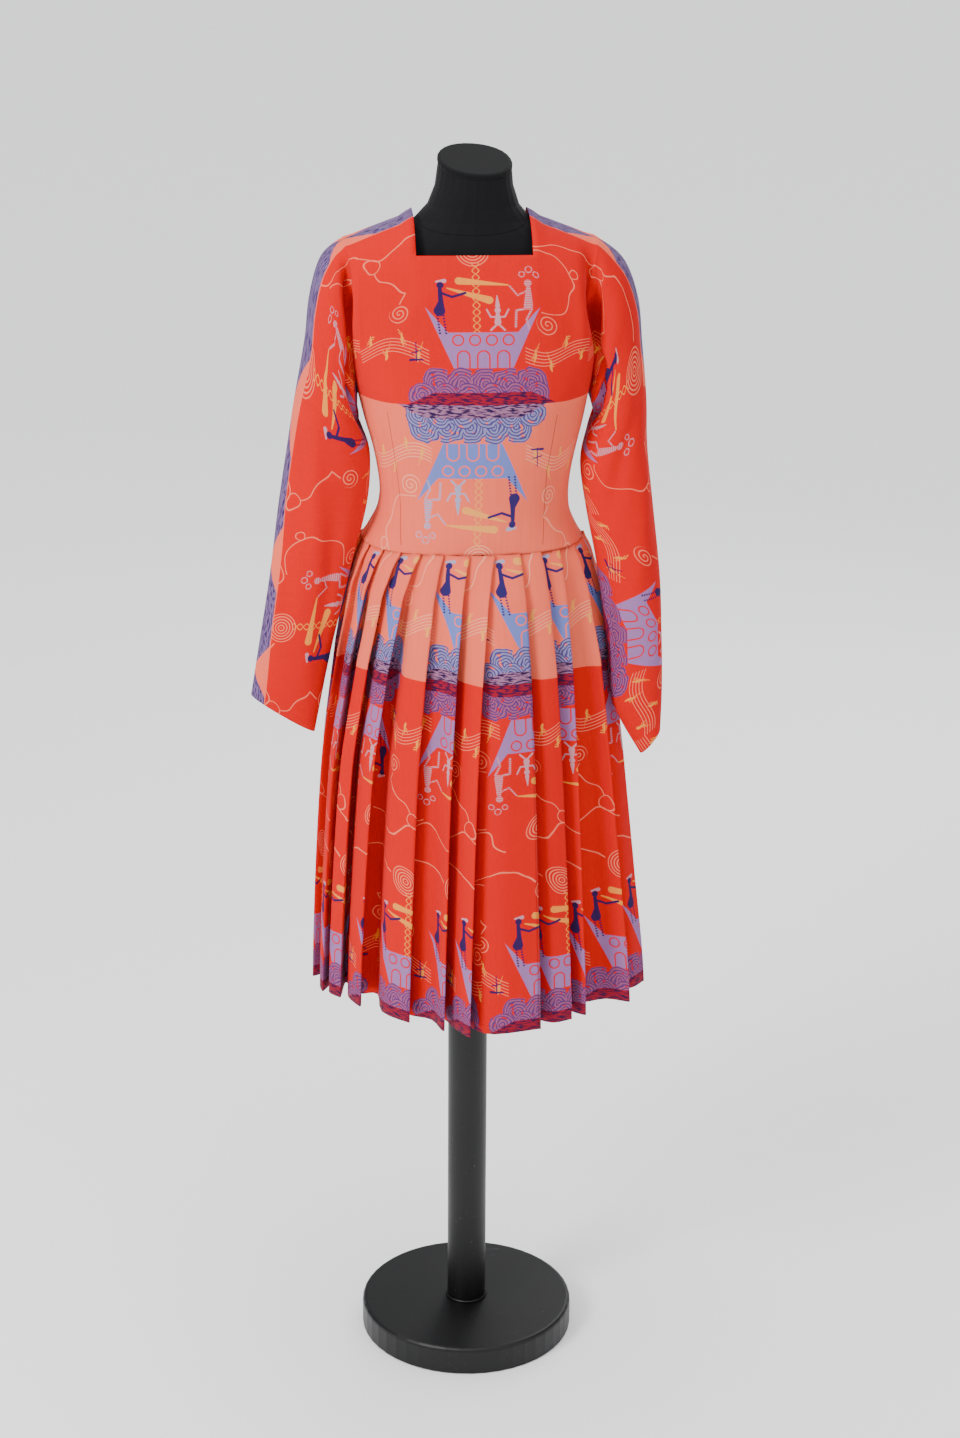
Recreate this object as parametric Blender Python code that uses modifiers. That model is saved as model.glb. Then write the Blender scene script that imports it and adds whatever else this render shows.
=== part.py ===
"""A tea dress on a limbless dress form, in metres, +Z up, with the front facing -Y.

The dress has four pieces of cloth: a front and a back bodice, each with its two half sleeves cut in one,
and a front and a back skirt in knife pleats. They stand on a dress form with a neck cap, a pole, a thin
ring and a round base. The sections below are measured from the pole's axis. At the end everything moves
level, so that the origin is on the floor under the middle of the object's box.

Every sheet of cloth starts as a flat grid. Each point of the grid is then put in its worn place, which is
worked out from the sections below, and the sheet is thickened into a wall.
"""

import math
from collections import namedtuple

import bmesh
import bpy
from mathutils import Vector

# ---- Driving dimensions -------------------------------------------------------------------------------

WALL = 0.0012
SEAM_GAP = 0.0003

BASE_RADIUS = 0.154
BASE_HEIGHT = 0.042
BASE_EDGE_RADIUS = 0.006
BASE_FOOT_CHAMFER = 0.002
POLE_RADIUS = 0.028
RING_RADIUS = 0.0305
RING_HEIGHT = 0.0035
FORM_BOTTOM = 0.880
POLE_TOP = FORM_BOTTOM - SEAM_GAP

NECK_HALF_WIDTH = 0.050
CAP_THICKNESS = 0.007
CAP_MIDDLE_HEIGHT = 1.7180
CAP_SLOPE_FORWARD = 0.30
CAP_SLOPE_SIDE = -0.07
CAP_OVERHANG = 0.0008

WAIST_SEAM_HEIGHT = 1.2165
UNDERARM_HEIGHT = 1.412
SHOULDER_TIP_X = 0.164
TOP_MIDDLE_X = -0.002
FRONT_NECK_DROP = 0.40
BACK_NECK_DROP = 0.30
FRONT_ROUNDNESS = 0.80
BACK_ROUNDNESS = 0.55
ARMHOLE_CLOSING = 0.60
BODY_ROUNDNESS = 2.35

HEM_HEIGHT = 0.573
PLEAT_STEP_OUT = 0.003
PLEAT_STEP_IN = 0.0075
PLEAT_FOLD_WIDTH = 0.0042
PLEAT_UNDERLAP = 0.010
POINTS_EACH_PLEAT = 6
SIDE_SEAM_POINT = 3

ROUND_SIDES = 48
FORM_SIDES = 28

# ---- Sections -----------------------------------------------------------------------------------------

FormSection = namedtuple("FormSection", "height half_width front back middle_x", defaults=(0.0,))
FORM_SECTIONS = (
    FormSection(0.880, 0.134, 0.080, 0.090),
    FormSection(0.888, 0.143, 0.087, 0.098),
    FormSection(0.930, 0.149, 0.092, 0.104),
    FormSection(1.010, 0.151, 0.094, 0.108),
    FormSection(1.090, 0.142, 0.091, 0.102),
    FormSection(1.170, 0.125, 0.084, 0.090),
    FormSection(1.245, 0.112, 0.078, 0.079),
    FormSection(1.280, 0.110, 0.078, 0.077),
    FormSection(1.340, 0.119, 0.086, 0.082),
    FormSection(1.400, 0.134, 0.098, 0.088),
    FormSection(1.450, 0.144, 0.102, 0.092),
    FormSection(1.510, 0.151, 0.094, 0.089),
    FormSection(1.560, 0.153, 0.081, 0.081),
    FormSection(1.590, 0.146, 0.071, 0.071),
    FormSection(1.612, 0.124, 0.062, 0.062),
    FormSection(1.628, 0.098, 0.056, 0.055),
    FormSection(1.642, 0.076, 0.051, 0.050, 0.001),
    FormSection(1.660, 0.060, 0.048, 0.048, 0.002),
    FormSection(1.685, 0.0510, 0.0465, 0.0465, 0.003),
    FormSection(1.7106, 0.0480, 0.0460, 0.0460, 0.004),
)
# The last form section is the top of the neck, which slopes like the cap that lies on it.

BodiceSection = namedtuple("BodiceSection", "height half_width front back middle_x")
BODICE_SECTIONS = (
    BodiceSection(UNDERARM_HEIGHT, 0.1525, 0.1130, 0.1010, 0.003),
    BodiceSection(1.380, 0.1455, 0.1110, 0.0980, 0.004),
    BodiceSection(1.345, 0.1365, 0.1060, 0.0950, 0.005),
    BodiceSection(1.310, 0.1295, 0.1010, 0.0925, 0.005),
    BodiceSection(1.280, 0.1265, 0.0980, 0.0920, 0.005),
    BodiceSection(1.255, 0.1290, 0.0990, 0.0940, 0.004),
    BodiceSection(1.235, 0.1375, 0.1025, 0.0990, 0.003),
    BodiceSection(WAIST_SEAM_HEIGHT, 0.1490, 0.1065, 0.1060, 0.002),
)

ShoulderPoint = namedtuple("ShoulderPoint", "out height")
SHOULDER_LINE = (
    ShoulderPoint(0.0755, 1.6520),
    ShoulderPoint(0.0930, 1.6410),
    ShoulderPoint(0.1220, 1.6300),
    ShoulderPoint(SHOULDER_TIP_X, 1.6160),
)

# A sleeve's rings run from the overarm seam to the underarm seam. The middle of the front hangs below the
# straight line between the two by dip.
SleeveSection = namedtuple("SleeveSection", "over_x over_z under_x under_z front back middle_y dip")
LEFT_SLEEVE = (
    SleeveSection(-0.1960, 1.5930, -0.1500, 1.4070, 0.068, 0.064, 0.000, 0.000),
    SleeveSection(-0.2120, 1.5420, -0.1500, 1.3950, 0.064, 0.060, -0.002, 0.000),
    SleeveSection(-0.2190, 1.4850, -0.1470, 1.3820, 0.060, 0.056, -0.004, 0.000),
    SleeveSection(-0.2330, 1.4100, -0.1400, 1.3600, 0.055, 0.052, -0.008, 0.000),
    SleeveSection(-0.2440, 1.3450, -0.1340, 1.3260, 0.049, 0.047, -0.013, 0.000),
    SleeveSection(-0.2570, 1.2650, -0.1390, 1.2650, 0.043, 0.042, -0.018, 0.000),
    SleeveSection(-0.2700, 1.1700, -0.1620, 1.1750, 0.035, 0.036, -0.023, 0.000),
    SleeveSection(-0.2870, 1.0600, -0.1900, 1.0600, 0.028, 0.030, -0.028, 0.002),
    SleeveSection(-0.2980, 0.9780, -0.2110, 0.9480, 0.022, 0.026, -0.031, 0.006),
)
RIGHT_SLEEVE = (
    SleeveSection(0.1990, 1.5890, 0.1570, 1.4070, 0.068, 0.064, 0.000, 0.000),
    SleeveSection(0.2190, 1.5400, 0.1600, 1.3970, 0.064, 0.060, -0.001, 0.000),
    SleeveSection(0.2260, 1.4800, 0.1620, 1.3830, 0.060, 0.056, -0.003, 0.000),
    SleeveSection(0.2330, 1.4060, 0.1550, 1.3610, 0.056, 0.051, -0.008, 0.000),
    SleeveSection(0.2350, 1.3420, 0.1460, 1.3180, 0.050, 0.046, -0.016, 0.000),
    SleeveSection(0.2430, 1.2660, 0.1540, 1.2560, 0.044, 0.040, -0.028, 0.000),
    SleeveSection(0.2530, 1.1710, 0.1680, 1.1820, 0.036, 0.032, -0.046, 0.004),
    SleeveSection(0.2600, 1.0850, 0.1850, 1.0750, 0.030, 0.024, -0.062, 0.016),
    SleeveSection(0.2660, 1.0060, 0.2030, 0.9740, 0.028, 0.020, -0.072, 0.038),
)

# Where each pleat's folds lie at the hem, seen from above. A pleat runs from the fold behind its neighbour
# (behind), through the hollow (hollow) and the front of its panel (panel), to its own outer fold (edge).
Pleat = namedtuple("Pleat", "seam_x behind hollow panel edge")
FRONT_PLEATS = (
    Pleat(-0.135, (-0.190, 0.036), (-0.206, 0.034), (-0.213, 0.010), (-0.219, -0.014)),
    Pleat(-0.117, (-0.196, -0.004), (-0.201, -0.024), (-0.211, -0.040), (-0.207, -0.064)),
    Pleat(-0.095, (-0.187, -0.030), (-0.189, -0.050), (-0.199, -0.070), (-0.184, -0.086)),
    Pleat(-0.070, (-0.174, -0.044), (-0.172, -0.060), (-0.172, -0.088), (-0.157, -0.116)),
    Pleat(-0.041, (-0.152, -0.080), (-0.131, -0.081), (-0.127, -0.137), (-0.093, -0.170)),
    Pleat(-0.008, (-0.106, -0.136), (-0.086, -0.152), (-0.060, -0.166), (-0.046, -0.198)),
    Pleat(0.025, (-0.058, -0.154), (-0.042, -0.166), (-0.030, -0.194), (-0.012, -0.220)),
    Pleat(0.058, (-0.018, -0.176), (-0.003, -0.200), (0.024, -0.216), (0.083, -0.201)),
    Pleat(0.086, (0.066, -0.166), (0.083, -0.172), (0.106, -0.184), (0.130, -0.173)),
    Pleat(0.111, (0.112, -0.140), (0.128, -0.145), (0.139, -0.154), (0.151, -0.160)),
    Pleat(0.132, (0.137, -0.122), (0.154, -0.122), (0.186, -0.112), (0.215, -0.121)),
    Pleat(0.147, (0.193, -0.086), (0.208, -0.078), (0.226, -0.078), (0.243, -0.056)),
)
# The back is hidden, so its pleats follow from a turn round the skirt and a small change in reach.
BackPleat = namedtuple("BackPleat", "turn reach depth lag")
BACK_PLEATS = (
    BackPleat(8.0, 0.250, 0.036, 0.26),
    BackPleat(22.5, 0.243, 0.042, 0.30),
    BackPleat(38.0, 0.232, 0.040, 0.22),
    BackPleat(53.0, 0.222, 0.048, 0.34),
    BackPleat(67.5, 0.216, 0.038, 0.26),
    BackPleat(82.0, 0.213, 0.044, 0.20),
    BackPleat(98.0, 0.211, 0.040, 0.32),
    BackPleat(112.5, 0.212, 0.046, 0.26),
    BackPleat(127.0, 0.214, 0.038, 0.30),
    BackPleat(142.0, 0.216, 0.044, 0.22),
    BackPleat(156.0, 0.217, 0.036, 0.30),
    BackPleat(168.0, 0.218, 0.030, 0.26),
)
BACK_DEPTH_SHARE = 0.92

# How far the skirt has spread from the seam towards the hem, on the left and right side of the dress.
SkirtRow = namedtuple("SkirtRow", "drop left right")
SKIRT_ROWS = (
    SkirtRow(0.000, 0.000, 0.000),
    SkirtRow(0.030, 0.120, 0.105),
    SkirtRow(0.090, 0.290, 0.235),
    SkirtRow(0.240, 0.520, 0.440),
    SkirtRow(0.460, 0.780, 0.620),
    SkirtRow(0.720, 0.920, 0.810),
    SkirtRow(1.000, 1.000, 1.000),
)

# ---- Finishes: colour, roughness, metallic ------------------------------------------------------------

Finish = namedtuple("Finish", "colour roughness metallic")
RED_CLOTH = Finish((0.78, 0.07, 0.05, 1.0), 0.85, 0.0)
SALMON_CLOTH = Finish((0.85, 0.36, 0.27, 1.0), 0.85, 0.0)
BLACK_JERSEY = Finish((0.022, 0.021, 0.023, 1.0), 0.90, 0.0)
BLACK_PAINT = Finish((0.030, 0.028, 0.028, 1.0), 0.38, 0.0)

COLLECTION_NAME = "tea_dress_on_form"


# ---- Small helpers ------------------------------------------------------------------------------------


def clear_scene():
    """Remove every object of the scene."""
    for item in list(bpy.data.objects):
        bpy.data.objects.remove(item, do_unlink=True)


def new_collection(name):
    """Make a collection under the scene's own."""
    made = bpy.data.collections.new(name)
    bpy.context.scene.collection.children.link(made)
    return made


def new_material(name, finish):
    """Make a Principled material with a finish's colour, roughness and metallic value."""
    material = bpy.data.materials.new(name)
    material.use_nodes = True
    shader = material.node_tree.nodes["Principled BSDF"]
    shader.inputs["Base Color"].default_value = finish.colour
    shader.inputs["Roughness"].default_value = finish.roughness
    shader.inputs["Metallic"].default_value = finish.metallic
    return material


def add_object(name, bm, material, collection):
    """Turn a bmesh into an object of the collection, shaded smooth apart from sharp edges."""
    mesh = bpy.data.meshes.new(name)
    bm.to_mesh(mesh)
    bm.free()
    mesh.materials.append(material)
    mesh.shade_smooth()
    mesh.set_sharp_from_angle(angle=math.radians(40.0))
    made = bpy.data.objects.new(name, mesh)
    collection.objects.link(made)
    return made


def blend(first, second, share):
    """The value a share of the way from first to second."""
    return first + (second - first) * share


def superellipse(angle, power):
    """Cosine and sine of an angle, squared off towards a rounded box as power grows past 2."""
    cosine = math.cos(angle)
    sine = math.sin(angle)
    return (
        math.copysign(abs(cosine) ** (2.0 / power), cosine),
        math.copysign(abs(sine) ** (2.0 / power), sine),
    )


# ---- The dress form -----------------------------------------------------------------------------------


def cap_height(x, y):
    """Height of the sloping joint between the neck and its cap."""
    return CAP_MIDDLE_HEIGHT - CAP_THICKNESS + CAP_SLOPE_FORWARD * y + CAP_SLOPE_SIDE * x


def form_ring(section, sides):
    """Points round one section of the form, widest at its sides."""
    points = []
    for step in range(sides):
        across, along = superellipse(2.0 * math.pi * step / sides, 2.1)
        depth = section.back if along > 0.0 else section.front
        points.append(
            Vector((section.middle_x + section.half_width * across, depth * along, section.height))
        )
    return points


def loft(rings):
    """A closed solid through rings of equal length, with a flat face at each end."""
    bm = bmesh.new()
    rows = [[bm.verts.new(point) for point in ring] for ring in rings]
    count = len(rings[0])
    for lower, upper in zip(rows, rows[1:]):
        for step in range(count):
            after = (step + 1) % count
            bm.faces.new((lower[step], lower[after], upper[after], upper[step]))
    bm.faces.new(reversed(rows[0]))
    bm.faces.new(rows[-1])
    return bm


def build_form_torso(material, collection):
    """The torso of the form, from the hips to the top of the neck."""
    rings = [form_ring(section, FORM_SIDES) for section in FORM_SECTIONS]
    for point in rings[-1]:
        point.z = cap_height(point.x, point.y)
    return add_object("form_torso", loft(rings), material, collection)


def build_neck_cap(material, collection):
    """The cap on the neck: a slightly wider disc with a rounded upper edge, sloping forward."""
    top = FORM_SECTIONS[-1]
    rings = []
    for rise, inset in ((0.0, 0.0010), (0.0015, 0.0), (0.0045, 0.0), (0.0062, 0.0012), (0.0070, 0.0040)):
        reach = CAP_OVERHANG - inset
        ring = form_ring(
            FormSection(0.0, top.half_width + reach, top.front + reach, top.back + reach, top.middle_x),
            FORM_SIDES,
        )
        for point in ring:
            point.z = cap_height(point.x, point.y) + SEAM_GAP + rise
        rings.append(ring)
    return add_object("neck_cap", loft(rings), material, collection)


def turned(name, profile, material, collection):
    """A turned solid: a profile of (radius, height) from the top to the bottom, swept by a Screw."""
    bm = bmesh.new()
    points = [bm.verts.new((radius, 0.0, height)) for radius, height in profile]
    for upper, lower in zip(points, points[1:]):
        bm.edges.new((upper, lower))
    made = add_object(name, bm, material, collection)
    screw = made.modifiers.new("turn", "SCREW")
    screw.axis = "Z"
    screw.angle = 2.0 * math.pi
    screw.steps = ROUND_SIDES
    screw.render_steps = ROUND_SIDES
    screw.use_merge_vertices = True
    screw.merge_threshold = 0.00001
    screw.use_smooth_shade = True
    return made


def build_base_disc(material, collection):
    """The round base, with a rounded upper edge and a small chamfer at the floor."""
    profile = [(0.0, BASE_HEIGHT)]
    for step in range(4):
        turn = 0.5 * math.pi * step / 3.0
        radius = BASE_RADIUS - BASE_EDGE_RADIUS * (1.0 - math.sin(turn))
        height = BASE_HEIGHT - BASE_EDGE_RADIUS * (1.0 - math.cos(turn))
        profile.append((radius, height))
    profile.append((BASE_RADIUS, BASE_FOOT_CHAMFER))
    profile.append((BASE_RADIUS - BASE_FOOT_CHAMFER, 0.0))
    profile.append((0.0, 0.0))
    return turned("base_disc", profile, material, collection)


def build_pole(material, collection):
    """The round pole from the base to the underside of the form."""
    foot = BASE_HEIGHT + SEAM_GAP
    profile = ((0.0, POLE_TOP), (POLE_RADIUS, POLE_TOP), (POLE_RADIUS, foot), (0.0, foot))
    return turned("pole", profile, material, collection)


def build_pole_ring(material, collection):
    """The thin ring that lies on the base round the foot of the pole."""
    inner = POLE_RADIUS + SEAM_GAP
    foot = BASE_HEIGHT + SEAM_GAP
    top = foot + RING_HEIGHT
    profile = (
        (inner, top),
        (RING_RADIUS - 0.001, top),
        (RING_RADIUS, top - 0.001),
        (RING_RADIUS, foot),
        (inner, foot),
        (inner, top),
    )
    return turned("pole_ring", profile, material, collection)


# ---- Cloth --------------------------------------------------------------------------------------------


def cloth_grid(columns, rows, keep, place):
    """A sheet of cloth: a grid of cells, cut to shape by keep, with each point moved by place.

    The second result gives each point's column and row.
    """
    bm = bmesh.new()
    bmesh.ops.create_grid(bm, x_segments=columns, y_segments=rows, size=0.5)
    cells = {}
    for vert in bm.verts:
        column = round((vert.co.x + 0.5) * columns)
        row = round((0.5 - vert.co.y) * rows)
        cells[vert] = (column, row)
    cut = []
    for face in bm.faces:
        column = min(cells[vert][0] for vert in face.verts)
        row = min(cells[vert][1] for vert in face.verts)
        if not keep(column, row):
            cut.append(face)
    places = {vert: place(*cells[vert]) for vert in bm.verts}
    bmesh.ops.delete(bm, geom=cut, context="FACES")
    cells = {vert: cells[vert] for vert in bm.verts}
    for vert in bm.verts:
        vert.co = places[vert]
    bm.normal_update()
    return bm, cells


def thicken(bm, walls, seam_shifts):
    """Give a sheet its wall: walls holds each point's step to the inner face.

    seam_shifts moves both faces of a point that lies on a seam, to leave the seam's gap.
    """
    outer = list(bm.verts)
    made = bmesh.ops.duplicate(bm, geom=outer + list(bm.edges) + list(bm.faces))
    twin = made["vert_map"]
    inner_faces = [item for item in made["geom"] if isinstance(item, bmesh.types.BMFace)]
    borders = [edge for edge in bm.edges if edge.is_boundary and edge.verts[0] in walls]
    for vert in outer:
        twin[vert].co = vert.co + walls[vert]
    bmesh.ops.reverse_faces(bm, faces=inner_faces)
    for edge in borders:
        first, second = edge.verts
        if edge.link_loops[0].vert != first:
            first, second = second, first
        bm.faces.new((second, first, twin[first], twin[second]))
    for vert, shift in seam_shifts.items():
        twin[vert].co += shift
        vert.co += shift
    bm.normal_update()


def table_value(rows, at):
    """The height a table of (out, height) rows gives at a distance, which is held to the table's ends."""
    if at <= rows[0][0]:
        return rows[0][1]
    for lower, upper in zip(rows, rows[1:]):
        if at <= upper[0]:
            return blend(lower[1], upper[1], (at - lower[0]) / (upper[0] - lower[0]))
    return rows[-1][1]


def chest_point(across, drop, side):
    """A point between the shoulder seam (drop 0) and the underarm level (drop 1).

    across runs from -1 to 1 between the armholes, and side is -1 for the front and 1 for the back.
    """
    section = BODICE_SECTIONS[0]
    depth = section.front if side < 0 else section.back
    roundness = FRONT_ROUNDNESS if side < 0 else BACK_ROUNDNESS
    turn = 0.5 * math.pi * drop
    half_width = blend(SHOULDER_TIP_X, section.half_width, drop**3)
    x = blend(TOP_MIDDLE_X, section.middle_x, drop) + half_width * across
    high = table_value(SHOULDER_LINE, abs(half_width * across))
    z = blend(UNDERARM_HEIGHT, high, math.cos(turn))
    closed = (1.0 - abs(across) ** BODY_ROUNDNESS) ** (1.0 / BODY_ROUNDNESS)
    open_share = (1.0 - drop) ** ARMHOLE_CLOSING
    reach = depth * math.sin(turn) ** roundness * blend(closed, 1.0, open_share)
    return Vector((x, side * reach, z))


def body_point(section, across, side):
    """A point of a section below the underarm, on the front or the back."""
    depth = section.front if side < 0 else section.back
    closed = (1.0 - abs(across) ** BODY_ROUNDNESS) ** (1.0 / BODY_ROUNDNESS)
    return Vector((section.middle_x + section.half_width * across, side * depth * closed, section.height))


def sleeve_point(section, drop, side):
    """A point of a sleeve ring, from the overarm seam (drop 0) to the underarm seam (drop 1)."""
    cosine, sine = superellipse(math.pi * drop, 2.2)
    depth = section.front if side < 0 else section.back
    share = 0.5 * (1.0 - cosine)
    x = blend(section.over_x, section.under_x, share)
    z = blend(section.over_z, section.under_z, share) - section.dip * sine
    return Vector((x, section.middle_y + side * depth * sine, z))


TORSO_ACROSS = (
    -1.0, -0.965, -0.90, -0.79, -0.65, -0.46, -0.30, -0.15,
    0.0, 0.15, 0.30, 0.46, 0.65, 0.79, 0.90, 0.965, 1.0,
)
NECK_COLUMNS = range(5, 11)
CHEST_DROPS = (0.0, 0.06, 0.16, BACK_NECK_DROP, FRONT_NECK_DROP, 0.60, 0.80, 1.0)


def bodice_place(side):
    """The rule that puts a point of the bodice's flat grid in its worn place."""
    sleeve_cells = len(LEFT_SLEEVE)
    torso_cells = len(TORSO_ACROSS) - 1
    chest_cells = len(CHEST_DROPS) - 1

    def place(column, row):
        drop = CHEST_DROPS[min(row, chest_cells)]
        if column < sleeve_cells:
            return sleeve_point(LEFT_SLEEVE[sleeve_cells - 1 - column], drop, side)
        if column > sleeve_cells + torso_cells:
            return sleeve_point(RIGHT_SLEEVE[column - sleeve_cells - torso_cells - 1], drop, side)
        across = TORSO_ACROSS[column - sleeve_cells]
        if row <= chest_cells:
            return chest_point(across, drop, side)
        return body_point(BODICE_SECTIONS[row - chest_cells], across, side)

    return place


def bodice_keep(neck_drop):
    """The rule that says which cells of the flat grid are cloth: a T shape less the neck opening."""
    sleeve_cells = len(LEFT_SLEEVE)
    torso_cells = len(TORSO_ACROSS) - 1
    chest_cells = len(CHEST_DROPS) - 1

    def keep(column, row):
        in_torso = sleeve_cells <= column < sleeve_cells + torso_cells
        if not in_torso:
            return row < chest_cells
        in_neck = column - sleeve_cells in NECK_COLUMNS
        return not (in_neck and row < chest_cells and CHEST_DROPS[row] < neck_drop)

    return keep


def build_bodice(name, side, neck_drop, material, collection):
    """A front (side -1) or back (side 1) bodice with its two half sleeves cut in one.

    At a side or overarm seam the wall has no part along Y, and at the waist seam no part along Z, so that
    each edge stays in the plane of its seam.
    """
    columns = 2 * len(LEFT_SLEEVE) + len(TORSO_ACROSS) - 1
    rows = len(CHEST_DROPS) + len(BODICE_SECTIONS) - 2
    bm, cells = cloth_grid(columns, rows, bodice_keep(neck_drop), bodice_place(side))
    if side > 0:
        bmesh.ops.reverse_faces(bm, faces=bm.faces)
        bm.normal_update()
    underarm_row = len(CHEST_DROPS) - 1
    side_columns = (len(LEFT_SLEEVE), len(LEFT_SLEEVE) + len(TORSO_ACROSS) - 1)
    walls = {}
    seam_shifts = {}
    for vert, (column, row) in cells.items():
        normal = vert.normal.copy()
        in_sleeve = column < side_columns[0] or column > side_columns[1]
        if row == 0 or (in_sleeve and row == underarm_row) or (column in side_columns and row >= underarm_row):
            normal.y = 0.0
            seam_shifts[vert] = Vector((0.0, side * 0.5 * SEAM_GAP, 0.0))
        if row == rows:
            normal.z = 0.0
        walls[vert] = -normal.normalized() * WALL
    thicken(bm, walls, seam_shifts)
    return add_object(name, bm, material, collection)


# ---- Pleated skirt ------------------------------------------------------------------------------------


def seam_angle(x):
    """The turn, from the left side through the front, at which the waist seam has this x."""
    section = BODICE_SECTIONS[-1]
    return math.acos(min(max(-(x - section.middle_x) / section.half_width, -1.0), 1.0))


def seam_point(turn, inwards):
    """A point of the waist seam at a turn from the left side through the front, moved inwards."""
    section = BODICE_SECTIONS[-1]
    depth = section.front if math.sin(turn) > 0.0 else section.back
    return Vector(
        (
            section.middle_x - (section.half_width - inwards) * math.cos(turn),
            -(depth - inwards) * math.sin(turn),
            0.0,
        )
    )


def seam_folds(turn_before, turn):
    """The six points of one pleat at the waist seam, between its neighbour's edge and its own."""
    radius = BODICE_SECTIONS[-1].half_width
    behind = turn_before - PLEAT_UNDERLAP / radius
    deep = PLEAT_STEP_IN
    return (
        seam_point(behind, deep - PLEAT_FOLD_WIDTH),
        seam_point(behind, deep),
        seam_point(turn_before + 0.01, deep - 0.0010),
        seam_point(blend(turn_before, turn, 0.5), 0.5 * (deep - PLEAT_STEP_OUT)),
        seam_point(turn, -PLEAT_STEP_OUT),
        seam_point(turn - 0.004, PLEAT_FOLD_WIDTH - PLEAT_STEP_OUT),
    )


def flat(pair):
    """A point on the plan from its x and y."""
    return Vector((pair[0], pair[1], 0.0))


def fold_pair(before, corner, after, width):
    """Two points that make a folded edge at a corner, a fold's width apart."""
    inwards = ((before - corner).normalized() + (after - corner).normalized()).normalized()
    along = Vector((-inwards.y, inwards.x, 0.0)) * 0.5 * width
    if (before - corner).dot(along) < 0.0:
        along = -along
    return corner + along, corner - along


def hem_folds(edge_before, pleat, behind_after):
    """The six points of one pleat at the hem."""
    behind = flat(pleat.behind)
    hollow = flat(pleat.hollow)
    panel = flat(pleat.panel)
    edge = flat(pleat.edge)
    inner = fold_pair(edge_before, behind, hollow, PLEAT_FOLD_WIDTH)
    outer = fold_pair(panel, edge, behind_after, PLEAT_FOLD_WIDTH)
    return inner[0], inner[1], hollow, panel, outer[0], outer[1]


def back_pleat(row):
    """The hem folds of a back pleat, in the same form as a front pleat's."""
    def around(turn, reach):
        angle = math.radians(turn)
        return (reach * math.cos(angle), BACK_DEPTH_SHARE * reach * math.sin(angle))

    width = 14.0
    behind = around(row.turn - width * (1.0 + row.lag), row.reach - row.depth)
    hollow = around(row.turn - width * (0.92 - 0.2 * row.lag), row.reach - 0.75 * row.depth)
    panel = around(row.turn - 0.5 * width, row.reach - 0.12 * row.depth)
    edge = around(row.turn, row.reach)
    return behind, hollow, panel, edge


def all_pleats():
    """Every pleat in order, from the left side through the front and round the back.

    Each row holds the turn of its edge at the seam and its four hem points.
    """
    rows = [(seam_angle(pleat.seam_x), pleat) for pleat in FRONT_PLEATS]
    last_turn = rows[-1][0]
    back_count = len(BACK_PLEATS)
    first_turn = rows[0][0] + 2.0 * math.pi
    for number, row in enumerate(BACK_PLEATS, start=1):
        turn = blend(last_turn, first_turn, number / (back_count + 1.0))
        rows.append((turn, Pleat(0.0, *back_pleat(row))))
    return rows


def skirt_profiles():
    """The points of the whole skirt's edge at the seam and at the hem, in order."""
    rows = all_pleats()
    seam = []
    hem = []
    for number, (turn, pleat) in enumerate(rows):
        turn_before = rows[number - 1][0] - (2.0 * math.pi if number == 0 else 0.0)
        edge_before = flat(rows[number - 1][1].edge)
        behind_after = flat(rows[(number + 1) % len(rows)][1].behind)
        seam.extend(seam_folds(turn_before, turn))
        hem.extend(hem_folds(edge_before, pleat, behind_after))
    return seam, hem


def skirt_place(seam, hem):
    """The rule that puts a point of the pleated skirt in place, for any column round the skirt."""
    top = WAIST_SEAM_HEIGHT - SEAM_GAP
    left = min(point.x for point in hem)
    right = max(point.x for point in hem)

    def place(column, row):
        number = column % len(seam)
        level = SKIRT_ROWS[row]
        spread = blend(level.left, level.right, (hem[number].x - left) / (right - left))
        point = seam[number].lerp(hem[number], spread)
        point.z = blend(top, HEM_HEIGHT, level.drop)
        return point

    return place


def skirt_wall(place, column, row):
    """The step from a skirt point to the inner face, square to the folds on both sides of the point."""
    before, here, after = (place(column + step, row) for step in (-1, 0, 1))
    lower = min(row + 1, len(SKIRT_ROWS) - 1)
    down = place(column, lower) - place(column, lower - 1)
    outwards = Vector((0.0, 0.0, 0.0))
    for along in (here - before, after - here):
        outwards += down.cross(along).normalized()
    if row == 0:
        outwards.z = 0.0
    return -outwards.normalized() * WALL


def build_skirt(name, first, last, material, collection):
    """One skirt piece, from its first to its last point round the skirt."""
    place = skirt_place(*skirt_profiles())
    columns = last - first
    rows = len(SKIRT_ROWS) - 1
    bm, cells = cloth_grid(columns, rows, lambda *cell: True, lambda column, row: place(first + column, row))
    walls = {}
    seam_shifts = {}
    for vert, (column, row) in cells.items():
        walls[vert] = skirt_wall(place, first + column, row)
        if column in (0, columns):
            step = 1 if column == 0 else -1
            along = place(first + column + step, row) - place(first + column, row)
            seam_shifts[vert] = along.normalized() * 0.6 * SEAM_GAP
    thicken(bm, walls, seam_shifts)
    return add_object(name, bm, material, collection)


# ---- The whole object ---------------------------------------------------------------------------------


def centre_on_origin(collection):
    """Move every object level, so that the origin is under the middle of the whole object's box."""
    bpy.context.view_layer.update()
    graph = bpy.context.evaluated_depsgraph_get()
    corners = []
    for item in collection.objects:
        evaluated = item.evaluated_get(graph)
        corners.extend(vert.co.copy() for vert in evaluated.to_mesh().vertices)
        evaluated.to_mesh_clear()
    for axis in (0, 1):
        low = min(corner[axis] for corner in corners)
        high = max(corner[axis] for corner in corners)
        for item in collection.objects:
            item.location[axis] = -0.5 * (low + high)


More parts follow.
